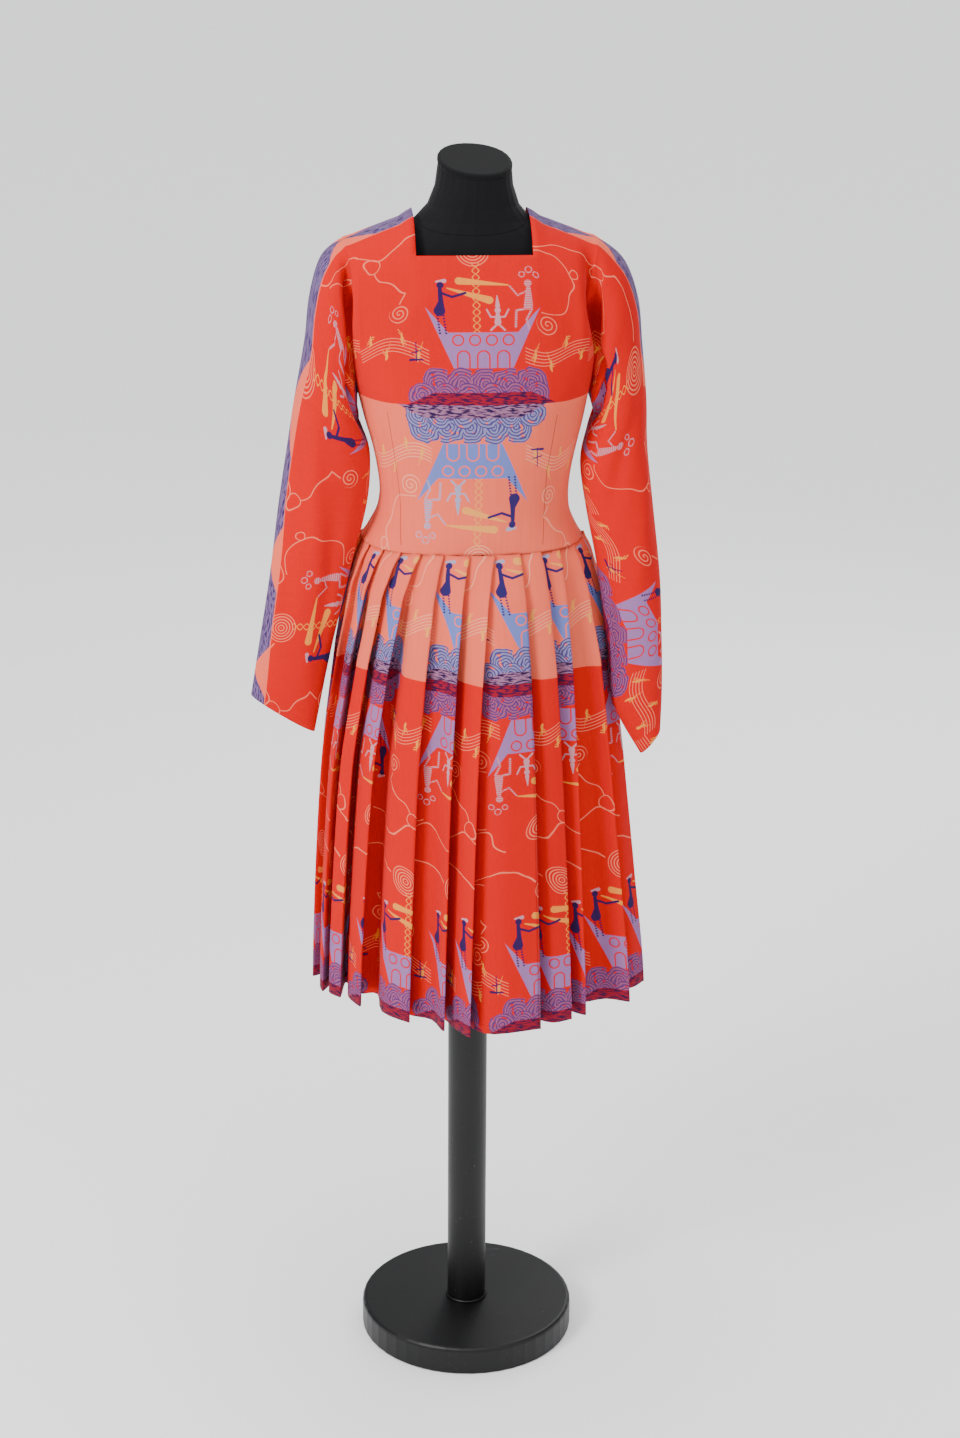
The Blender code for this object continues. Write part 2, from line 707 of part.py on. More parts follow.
def main():
    """Build the dress and its form."""
    clear_scene()
    collection = new_collection(COLLECTION_NAME)
    red = new_material("red_cloth", RED_CLOTH)
    salmon = new_material("salmon_cloth", SALMON_CLOTH)
    jersey = new_material("black_jersey", BLACK_JERSEY)
    paint = new_material("black_paint", BLACK_PAINT)

    build_base_disc(paint, collection)
    build_pole(paint, collection)
    build_pole_ring(paint, collection)
    build_form_torso(jersey, collection)
    build_neck_cap(jersey, collection)
    build_bodice("bodice_front", -1, FRONT_NECK_DROP, salmon, collection)
    build_bodice("bodice_back", 1, BACK_NECK_DROP, salmon, collection)
    left_seam = SIDE_SEAM_POINT
    right_seam = POINTS_EACH_PLEAT * len(FRONT_PLEATS) + SIDE_SEAM_POINT
    whole_turn = POINTS_EACH_PLEAT * (len(FRONT_PLEATS) + len(BACK_PLEATS)) + SIDE_SEAM_POINT
    build_skirt("skirt_front", left_seam, right_seam, red, collection)
    build_skirt("skirt_back", right_seam, whole_turn, red, collection)
    centre_on_origin(collection)


main()
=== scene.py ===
"""A printed day dress on a limbless dress form, dressed to be looked at from every side.

The dress is cut from four pieces: a front and a back bodice with the sleeves cut in one, and a front and a
back skirt in knife pleats. Each is a sheet laid out flat in metres and moved, point by point, to where it
hangs. The flat layout is kept as the sheet's UV map, so the print follows the cloth round every fold.
"""

import logging
import math
from collections.abc import Callable, Sequence
from dataclasses import dataclass, field
from enum import Enum

import bmesh
import bpy
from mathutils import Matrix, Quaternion, Vector


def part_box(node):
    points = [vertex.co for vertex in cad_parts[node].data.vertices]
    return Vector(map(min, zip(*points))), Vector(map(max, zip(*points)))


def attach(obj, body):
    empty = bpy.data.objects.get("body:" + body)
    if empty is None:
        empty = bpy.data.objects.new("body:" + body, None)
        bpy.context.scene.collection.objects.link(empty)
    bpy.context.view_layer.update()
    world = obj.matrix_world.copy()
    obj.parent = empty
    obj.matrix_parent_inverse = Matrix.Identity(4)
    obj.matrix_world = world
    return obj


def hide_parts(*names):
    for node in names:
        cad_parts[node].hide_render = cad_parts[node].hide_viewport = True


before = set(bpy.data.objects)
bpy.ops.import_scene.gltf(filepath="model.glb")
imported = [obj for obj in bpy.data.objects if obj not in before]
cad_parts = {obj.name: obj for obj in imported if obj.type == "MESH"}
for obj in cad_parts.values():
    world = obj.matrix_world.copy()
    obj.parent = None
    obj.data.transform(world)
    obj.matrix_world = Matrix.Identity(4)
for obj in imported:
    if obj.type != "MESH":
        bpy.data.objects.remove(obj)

LOG = logging.getLogger("day_dress")
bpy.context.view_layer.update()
POLE_LOW, POLE_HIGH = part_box("pole")
AXIS = Vector((0.5 * (POLE_LOW[0] + POLE_HIGH[0]), 0.5 * (POLE_LOW[1] + POLE_HIGH[1]), 0.0))
SKIRT_LOW, SKIRT_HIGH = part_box("skirt_front")

Colour = tuple[float, float, float, float]
Socket = bpy.types.NodeSocket


class Side(Enum):
    """The front or the back of the dress."""

    FRONT = -1
    BACK = 1


def screen_colour(red: int, green: int, blue: int) -> Colour:
    """A linear colour from 0 to 255 screen values.

    Args:
        red: The red value.
        green: The green value.
        blue: The blue value.

    Returns:
        The colour as linear red, green, blue and a full alpha.
    """
    linear = []
    for value in (red, green, blue):
        share = value / 255.0
        linear.append(share / 12.92 if share <= 0.04045 else ((share + 0.055) / 1.055) ** 2.4)
    return (linear[0], linear[1], linear[2], 1.0)


# ---- Shapes in numbers --------------------------------------------------------------------------------


def blend(first: float, second: float, share: float) -> float:
    """The value a share of the way from first to second.

    Args:
        first: The value at share 0.
        second: The value at share 1.
        share: The share of the way, from 0 to 1.

    Returns:
        The value.
    """
    return first + (second - first) * share


def smooth_between(rows: Sequence[Sequence[float]], at: float) -> list[float]:
    """A smooth curve through rows of numbers.

    Args:
        rows: The rows, one apart.
        at: The place along them, from 0 to the number of rows less one.

    Returns:
        One number for each column.
    """
    last = len(rows) - 1
    start = min(max(int(math.floor(at)), 0), last - 1)
    share = at - start
    before = rows[max(start - 1, 0)]
    first = rows[start]
    second = rows[start + 1]
    after = rows[min(start + 2, last)]
    made = []
    for p0, p1, p2, p3 in zip(before, first, second, after):
        slope = 0.5 * (p2 - p0)
        bend = p0 - 2.5 * p1 + 2.0 * p2 - 0.5 * p3
        twist = 0.5 * (p3 - p0) + 1.5 * (p1 - p2)
        made.append(p1 + share * (slope + share * (bend + share * twist)))
    return made


def steps(start: float, end: float, count: int) -> list[float]:
    """Evenly spaced numbers from start up to, but without, end.

    Args:
        start: The first number.
        end: The number just past the last.
        count: How many.

    Returns:
        The numbers.
    """
    return [blend(start, end, number / count) for number in range(count)]


def superellipse(angle: float, power: float) -> tuple[float, float]:
    """Cosine and sine of an angle, squared off towards a rounded box as power grows past 2.

    Args:
        angle: The angle.
        power: How square, from 2 for an ellipse.

    Returns:
        The two, squared off.
    """
    cosine = math.cos(angle)
    sine = math.sin(angle)
    return (
        math.copysign(abs(cosine) ** (2.0 / power), cosine),
        math.copysign(abs(sine) ** (2.0 / power), sine),
    )


def bump(distance: float, width: float) -> float:
    """A soft bump that is 1 at no distance and has all but gone at twice the width.

    Args:
        distance: The distance.
        width: The distance at which 0.37 of it is left.

    Returns:
        The height of the bump.
    """
    return math.exp(-((distance / width) ** 2))


@dataclass(frozen=True)
class Crease:
    """One soft ridge (positive height) or trough (negative) in a sheet, along a line in its flat layout."""

    from_u: float
    from_v: float
    to_u: float
    to_v: float
    height: float
    width: float

    def lift(self, u: float, v: float) -> float:
        """How far the crease moves the cloth out at a place of the flat layout.

        Args:
            u: The flat place across.
            v: The flat place down.

        Returns:
            The distance out along the normal.
        """
        run_u = self.to_u - self.from_u
        run_v = self.to_v - self.from_v
        length_squared = run_u * run_u + run_v * run_v
        share = ((u - self.from_u) * run_u + (v - self.from_v) * run_v) / length_squared
        share = min(max(share, 0.0), 1.0)
        gap = math.hypot(u - self.from_u - share * run_u, v - self.from_v - share * run_v)
        fade = math.sin(math.pi * (0.08 + 0.84 * share))
        return self.height * fade * bump(gap, self.width)


# ---- Cloth sheets -------------------------------------------------------------------------------------


@dataclass
class Sheet:
    """A flat grid of cloth, cut to shape and moved to its worn place.

    Args:
        name: The piece's name.
        columns: Cells across.
        rows: Cells down.
        wall: The cloth's thickness in the model.
    """

    name: str
    columns: int
    rows: int
    wall: float = 0.0011

    def build(
        self,
        keep: Callable[[int, int], bool],
        place: Callable[[int, int], Vector],
        flat: Callable[[int, int], tuple[float, float]],
        lift: Callable[[float, float], float],
        turned: bool,
    ) -> bpy.types.Object:
        """Make the sheet.

        Args:
            keep: Says whether a cell is cloth.
            place: Gives a grid point's worn place.
            flat: Gives a grid point's flat place, in metres.
            lift: Gives how far a flat place stands out from the plain form.
            turned: True if the faces must be turned round to point outwards.

        Returns:
            The sheet's object, with its wall as a live modifier.
        """
        bm = bmesh.new()
        bmesh.ops.create_grid(bm, x_segments=self.columns, y_segments=self.rows, size=0.5)
        cells: dict[bmesh.types.BMVert, tuple[int, int]] = {}
        for vert in bm.verts:
            column = round((vert.co.x + 0.5) * self.columns)
            row = round((0.5 - vert.co.y) * self.rows)
            cells[vert] = (column, row)
        waste = []
        for face in bm.faces:
            column = min(cells[vert][0] for vert in face.verts)
            row = min(cells[vert][1] for vert in face.verts)
            if not keep(column, row):
                waste.append(face)
        layout = {vert: flat(*cells[vert]) for vert in bm.verts}
        places = {vert: place(*cells[vert]) for vert in bm.verts}
        bmesh.ops.delete(bm, geom=waste, context="FACES")
        for vert in bm.verts:
            vert.co = places[vert]
        if turned:
            bmesh.ops.reverse_faces(bm, faces=bm.faces)
        bm.normal_update()
        moves = {vert: vert.normal * lift(*layout[vert]) for vert in bm.verts}
        uv_layer = bm.loops.layers.uv.new("flat_cut")
        for face in bm.faces:
            face.smooth = True
            for loop in face.loops:
                loop[uv_layer].uv = layout[loop.vert]
        for vert in bm.verts:
            vert.co += moves[vert]
        mesh = bpy.data.meshes.new(self.name)
        bm.to_mesh(mesh)
        bm.free()
        made = bpy.data.objects.new(self.name, mesh)
        bpy.context.scene.collection.objects.link(made)
        solid = made.modifiers.new("wall", "SOLIDIFY")
        solid.thickness = self.wall
        solid.offset = -1.0
        solid.use_even_offset = False
        solid.material_offset = 1
        solid.material_offset_rim = 0
        return made


@dataclass(frozen=True)
class BodySection:
    """One level section of the bodice below the armholes."""

    height: float
    half_width: float
    front: float
    back: float
    middle_x: float

    def numbers(self) -> tuple[float, float, float, float, float]:
        """The section as a row of numbers.

        Returns:
            The row.
        """
        return (self.height, self.half_width, self.front, self.back, self.middle_x)


@dataclass(frozen=True)
class SleeveRing:
    """One ring of a sleeve, from its overarm seam to its underarm seam."""

    over_x: float
    over_z: float
    under_x: float
    under_z: float
    front: float
    back: float
    middle_y: float
    dip: float

    def point(self, drop: float, side: Side) -> Vector:
        """The point of the ring a share of the way down one side of the sleeve.

        Args:
            drop: The share of the way down, from 0 to 1.
            side: Front or back.

        Returns:
            The point.
        """
        cosine, sine = superellipse(math.pi * drop, 2.2)
        depth = self.back if side is Side.BACK else self.front
        share = 0.5 * (1.0 - cosine)
        x = blend(self.over_x, self.under_x, share)
        z = blend(self.over_z, self.under_z, share) - self.dip * sine
        return Vector((x, self.middle_y + side.value * depth * sine, z))


LEFT_SLEEVE = (
    SleeveRing(-0.1960, 1.5930, -0.1500, 1.4070, 0.068, 0.064, 0.000, 0.000),
    SleeveRing(-0.2120, 1.5420, -0.1500, 1.3950, 0.064, 0.060, -0.002, 0.000),
    SleeveRing(-0.2190, 1.4850, -0.1470, 1.3820, 0.060, 0.056, -0.004, 0.000),
    SleeveRing(-0.2330, 1.4100, -0.1400, 1.3600, 0.055, 0.052, -0.008, 0.000),
    SleeveRing(-0.2440, 1.3450, -0.1340, 1.3260, 0.049, 0.047, -0.013, 0.000),
    SleeveRing(-0.2570, 1.2650, -0.1390, 1.2650, 0.043, 0.042, -0.018, 0.000),
    SleeveRing(-0.2700, 1.1700, -0.1620, 1.1750, 0.035, 0.036, -0.023, 0.000),
    SleeveRing(-0.2870, 1.0700, -0.1900, 1.0600, 0.027, 0.030, -0.028, 0.001),
    SleeveRing(-0.2985, 1.0020, -0.2130, 0.9480, 0.017, 0.024, -0.031, 0.000),
)
RIGHT_SLEEVE = (
    SleeveRing(0.1990, 1.5890, 0.1570, 1.4070, 0.068, 0.064, 0.000, 0.000),
    SleeveRing(0.2190, 1.5400, 0.1600, 1.3970, 0.064, 0.060, -0.001, 0.000),
    SleeveRing(0.2260, 1.4800, 0.1620, 1.3830, 0.060, 0.056, -0.003, 0.000),
    SleeveRing(0.2330, 1.4060, 0.1550, 1.3610, 0.056, 0.051, -0.008, 0.000),
    SleeveRing(0.2350, 1.3420, 0.1460, 1.3180, 0.050, 0.046, -0.016, 0.000),
    SleeveRing(0.2430, 1.2660, 0.1540, 1.2560, 0.044, 0.040, -0.028, 0.000),
    SleeveRing(0.2530, 1.1710, 0.1680, 1.1820, 0.036, 0.032, -0.046, 0.004),
    SleeveRing(0.2560, 1.0900, 0.1820, 1.0720, 0.030, 0.024, -0.060, 0.003),
    SleeveRing(0.2575, 1.0220, 0.1915, 0.9950, 0.027, 0.022, -0.068, 0.003),
    SleeveRing(0.2560, 0.9590, 0.2290, 0.9250, 0.017, 0.016, -0.074, 0.000),
)


@dataclass
class Bodice:
    """The bodice with its sleeves cut in one: a front and a back piece of the same layout.

    In the flat layout u runs across from the centre line and v runs down from the shoulder seam.
    """

    waist: float = SKIRT_HIGH[2] + 0.0003
    underarm: float = 1.412
    shoulder_tip_x: float = 0.164
    top_middle_x: float = -0.002
    neck_share: float = 0.46
    front_neck_drop: float = 0.40
    back_neck_drop: float = 0.30
    front_roundness: float = 0.80
    back_roundness: float = 0.55
    armhole_closing: float = 0.60
    body_roundness: float = 2.35
    shoulder_line: tuple[tuple[float, float], ...] = (
        (0.0755, 1.6520),
        (0.0930, 1.6410),
        (0.1220, 1.6300),
        (0.1640, 1.6160),
    )
    sleeve_cells: int = 72
    side_cells: int = 16
    middle_cells: int = 26
    neck_cells: int = 10
    chest_cells: int = 22
    body_cells: int = 26
    sections: tuple[BodySection, ...] = field(init=False)

    def __post_init__(self) -> None:
        """Set out the sections below the armholes, down to the waist seam."""
        self.sections = (
            BodySection(self.underarm, 0.1525, 0.1130, 0.1010, 0.003),
            BodySection(1.380, 0.1455, 0.1110, 0.0980, 0.004),
            BodySection(1.345, 0.1365, 0.1060, 0.0950, 0.005),
            BodySection(1.310, 0.1295, 0.1010, 0.0925, 0.005),
            BodySection(1.280, 0.1265, 0.0980, 0.0920, 0.005),
            BodySection(1.255, 0.1290, 0.0990, 0.0940, 0.004),
            BodySection(1.235, 0.1375, 0.1025, 0.0990, 0.003),
            BodySection(self.waist, 0.1490, 0.1065, 0.1060, 0.002),
        )

    def across_steps(self) -> list[float]:
        """The shares across the torso at which the grid has its columns, closer at the sides.

        Returns:
            The shares, from -1 to 1.
        """
        sides = [
            self.neck_share + (1.0 - self.neck_share) * math.sin(0.5 * math.pi * share)
            for share in steps(0.0, 1.0, self.side_cells)
        ] + [1.0]
        middle = steps(-self.neck_share, self.neck_share, self.middle_cells)
        return [-share for share in reversed(sides[1:])] + middle + sides

    def shoulder_height(self, out: float) -> float:
        """Height of the shoulder seam at a distance out from the middle.

        Args:
            out: The distance from the middle.

        Returns:
            The height.
        """
        rows = self.shoulder_line
        if out <= rows[0][0]:
            return rows[0][1]
        for number, (lower, upper) in enumerate(zip(rows, rows[1:])):
            if out <= upper[0]:
                at = number + (out - lower[0]) / (upper[0] - lower[0])
                return smooth_between(rows, at)[1]
        return rows[-1][1]

    def chest_point(self, across: float, drop: float, side: Side) -> Vector:
        """A point between the shoulder seam (drop 0) and the underarm level (drop 1).

        Args:
            across: The share across, from -1 to 1.
            drop: The share of the way down, from 0 to 1.
            side: Front or back.

        Returns:
            The point.
        """
        section = self.sections[0]
        front = side is Side.FRONT
        depth = section.front if front else section.back
        roundness = self.front_roundness if front else self.back_roundness
        turn = 0.5 * math.pi * drop
        half_width = blend(self.shoulder_tip_x, section.half_width, drop**3)
        x = blend(self.top_middle_x, section.middle_x, drop) + half_width * across
        high = self.shoulder_height(abs(half_width * across))
        z = blend(self.underarm, high, math.cos(turn))
        power = self.body_roundness
        closed = max(1.0 - abs(across) ** power, 0.0) ** (1.0 / power)
        open_share = max(1.0 - drop, 0.0) ** self.armhole_closing
        reach = depth * math.sin(turn) ** roundness * blend(closed, 1.0, open_share)
        return Vector((x, side.value * reach, z))

    def body_point(self, across: float, at: float, side: Side) -> Vector:
        """A point below the underarm level, at a place down the sections.

        Args:
            across: The share across, from -1 to 1.
            at: The place down the sections.
            side: Front or back.

        Returns:
            The point.
        """
        rows = [section.numbers() for section in self.sections]
        height, half_width, front, back, middle_x = smooth_between(rows, at)
        depth = front if side is Side.FRONT else back
        power = self.body_roundness
        closed = max(1.0 - abs(across) ** power, 0.0) ** (1.0 / power)
        return Vector((middle_x + half_width * across, side.value * depth * closed, height))

    def sleeve_points(
        self, rings: Sequence[SleeveRing], armhole: float, drops: Sequence[float], side: Side
    ) -> list[list[Vector]]:
        """The sleeve's points, column by column from the armhole out to the cuff.

        Args:
            rings: The sleeve's rings.
            armhole: -1 for the left armhole and 1 for the right.
            drops: The shares down the sleeve at which the grid has its rows.
            side: Front or back.

        Returns:
            Columns of points, without the armhole's own.
        """
        columns: list[list[Vector]] = []
        lines = []
        for drop in drops:
            start = self.chest_point(armhole, drop, side)
            lines.append([tuple(start)] + [tuple(ring.point(drop, side)) for ring in rings])
        for number in range(1, self.sleeve_cells + 1):
            at = len(rings) * number / self.sleeve_cells
            columns.append([Vector(smooth_between(line, at)) for line in lines])
        return columns

    def build(self, side: Side, creases: Sequence[Crease]) -> bpy.types.Object:
        """Make the front or the back piece.

        Args:
            side: Front or back.
            creases: The soft folds pressed into the piece.

        Returns:
            The piece's object.
        """
        neck_drop = self.front_neck_drop if side is Side.FRONT else self.back_neck_drop
        drops = steps(0.0, neck_drop, self.neck_cells) + steps(neck_drop, 1.0, self.chest_cells) + [1.0]
        across = self.across_steps()
        underarm_row = len(drops) - 1
        torso = [[self.chest_point(share, drop, side) for share in across] for drop in drops]
        for number in range(1, self.body_cells + 1):
            at = (len(self.sections) - 1) * number / self.body_cells
            torso.append([self.body_point(share, at, side) for share in across])
        left = self.sleeve_points(LEFT_SLEEVE, -1.0, drops, side)
        right = self.sleeve_points(RIGHT_SLEEVE, 1.0, drops, side)
        sleeve = self.sleeve_cells
        last_torso = sleeve + len(across) - 1

        def point(column: int, row: int) -> Vector:
            """The worn place of a grid point.

            Args:
                column: The column.
                row: The row.

            Returns:
                The point.
            """
            inner_row = min(row, underarm_row)
            if column < sleeve:
                return left[sleeve - 1 - column][inner_row]
            if column > last_torso:
                return right[column - last_torso - 1][inner_row]
            return torso[row][column - sleeve]

        middle = sleeve + len(across) // 2
        down = [0.0]
        for row in range(1, len(torso)):
            down.append(down[-1] + (point(middle, row) - point(middle, row - 1)).length)
        layout = self.flat_layout(point, down, middle, (sleeve, last_torso), underarm_row)
        neck_left = sleeve + self.side_cells
        neck_right = neck_left + self.middle_cells

        def keep(column: int, row: int) -> bool:
            """True if a cell is cloth: the T shape less the neck opening.

            Args:
                column: The column.
                row: The row.

            Returns:
                True for cloth.
            """
            if column < sleeve or column >= last_torso:
                return row < underarm_row
            return not (neck_left <= column < neck_right and row < self.neck_cells)

        def lift(u: float, v: float) -> float:
            """How far the creases move the cloth out.

            Args:
                u: The flat place across.
                v: The flat place down.

            Returns:
                The distance out along the normal.
            """
            return sum(crease.lift(u, v) for crease in creases)

        name = "bodice_cloth_front" if side is Side.FRONT else "bodice_cloth_back"
        sheet = Sheet(name, last_torso + sleeve, len(torso) - 1)
        return sheet.build(
            keep, lambda c, r: point(c, r) + AXIS, lambda c, r: layout[c][r], lift, side is Side.BACK
        )

    def flat_layout(
        self,
        point: Callable[[int, int], Vector],
        down: Sequence[float],
        middle: int,
        armholes: tuple[int, int],
        underarm_row: int,
    ) -> list[list[tuple[float, float]]]:
        """Lay the worn piece out flat: across from the centre line, and down from the shoulder seam.

        Args:
            point: The worn place of a grid point.
            down: The length down the centre line to each row.
            middle: The column on the centre line.
            armholes: The columns at the two armholes.
            underarm_row: The row at the underarm.

        Returns:
            For each column, the flat place of each row.
        """
        total = armholes[1] + self.sleeve_cells
        layout = [[(0.0, down[row]) for row in range(len(down))] for _ in range(total + 1)]
        for way in (-1, 1):
            edge = armholes[0] if way < 0 else armholes[1]
            for row in range(len(down)):
                run = 0.0
                for column in range(middle + way, edge + way, way):
                    run += (point(column, row) - point(column - way, row)).length
                    layout[column][row] = (way * run, down[row])
            half_arm = 0.5 * underarm_row
            along = 0.0
            end = 0 if way < 0 else total
            for column in range(edge + way, end + way, way):
                row = int(half_arm)
                along += (point(column, row) - point(column - way, row)).length
                girth = [0.0]
                for number in range(1, underarm_row + 1):
                    girth.append(girth[-1] + (point(column, number) - point(column, number - 1)).length)
                share = min(along / 0.10, 1.0)
                share = share * share * (3.0 - 2.0 * share)
                for number in range(len(down)):
                    inner = min(number, underarm_row)
                    out = blend(layout[edge][inner][0], layout[edge][row][0], share) + way * along
                    layout[column][number] = (out, blend(down[inner], girth[inner], share))
        return layout


@dataclass(frozen=True)
class Pleat:
    """One knife pleat: its fold at the seam, its folds at the hem, and where the print falls on it.

    The hem folds are seen from above. A pleat runs from the fold behind its neighbour, through the hollow
    and the front of its panel, to its own outer fold. print_seam and print_hem are the flat place across
    the print of that outer fold.
    """

    seam_x: float
    behind: tuple[float, float]
    hollow: tuple[float, float]
    panel: tuple[float, float]
    edge: tuple[float, float]
    print_seam: float
    print_hem: float


@dataclass(frozen=True)
class BackPleat:
    """One pleat of the back, as a turn round the skirt with its reach, depth and lag."""

    turn: float
    reach: float
    depth: float
    lag: float


FRONT_PLEATS = (
    Pleat(-0.135, (-0.190, 0.036), (-0.206, 0.034), (-0.213, 0.010), (-0.219, -0.014), -0.1650, -0.2400),
    Pleat(-0.117, (-0.196, -0.004), (-0.201, -0.024), (-0.211, -0.040), (-0.207, -0.064), -0.0350, -0.0400),
    Pleat(-0.095, (-0.187, -0.030), (-0.189, -0.050), (-0.199, -0.070), (-0.184, -0.086), 0.1450, 0.1860),
    Pleat(-0.070, (-0.174, -0.044), (-0.172, -0.060), (-0.172, -0.088), (-0.157, -0.116), 0.2900, 0.3500),
    Pleat(-0.041, (-0.152, -0.080), (-0.131, -0.081), (-0.127, -0.137), (-0.093, -0.170), 0.4550, 0.4060),
    Pleat(-0.008, (-0.106, -0.136), (-0.086, -0.152), (-0.060, -0.166), (-0.046, -0.198), 0.6000, 0.5780),
    Pleat(0.025, (-0.058, -0.154), (-0.042, -0.166), (-0.030, -0.194), (-0.012, -0.220), 0.7650, 0.7710),
    Pleat(0.058, (-0.018, -0.176), (-0.003, -0.200), (0.024, -0.216), (0.083, -0.201), 0.9150, 0.9835),
    Pleat(0.086, (0.066, -0.166), (0.083, -0.172), (0.106, -0.184), (0.130, -0.173), 1.0750, 1.0000),
    Pleat(0.111, (0.112, -0.140), (0.128, -0.145), (0.139, -0.154), (0.151, -0.160), 1.2200, 1.1640),
    Pleat(0.132, (0.137, -0.122), (0.154, -0.122), (0.186, -0.112), (0.215, -0.121), 1.3850, 1.3920),
    Pleat(0.147, (0.193, -0.086), (0.208, -0.078), (0.226, -0.078), (0.243, -0.056), 1.5250, 1.5700),
)
BACK_PLEATS = (
    BackPleat(8.0, 0.250, 0.036, 0.26),
    BackPleat(22.5, 0.243, 0.042, 0.30),
    BackPleat(38.0, 0.232, 0.040, 0.22),
    BackPleat(53.0, 0.222, 0.048, 0.34),
    BackPleat(67.5, 0.216, 0.038, 0.26),
    BackPleat(82.0, 0.213, 0.044, 0.20),
    BackPleat(98.0, 0.211, 0.040, 0.32),
    BackPleat(112.5, 0.212, 0.046, 0.26),
    BackPleat(127.0, 0.214, 0.038, 0.30),
    BackPleat(142.0, 0.216, 0.044, 0.22),
    BackPleat(156.0, 0.217, 0.036, 0.30),
    BackPleat(168.0, 0.218, 0.030, 0.26),
)


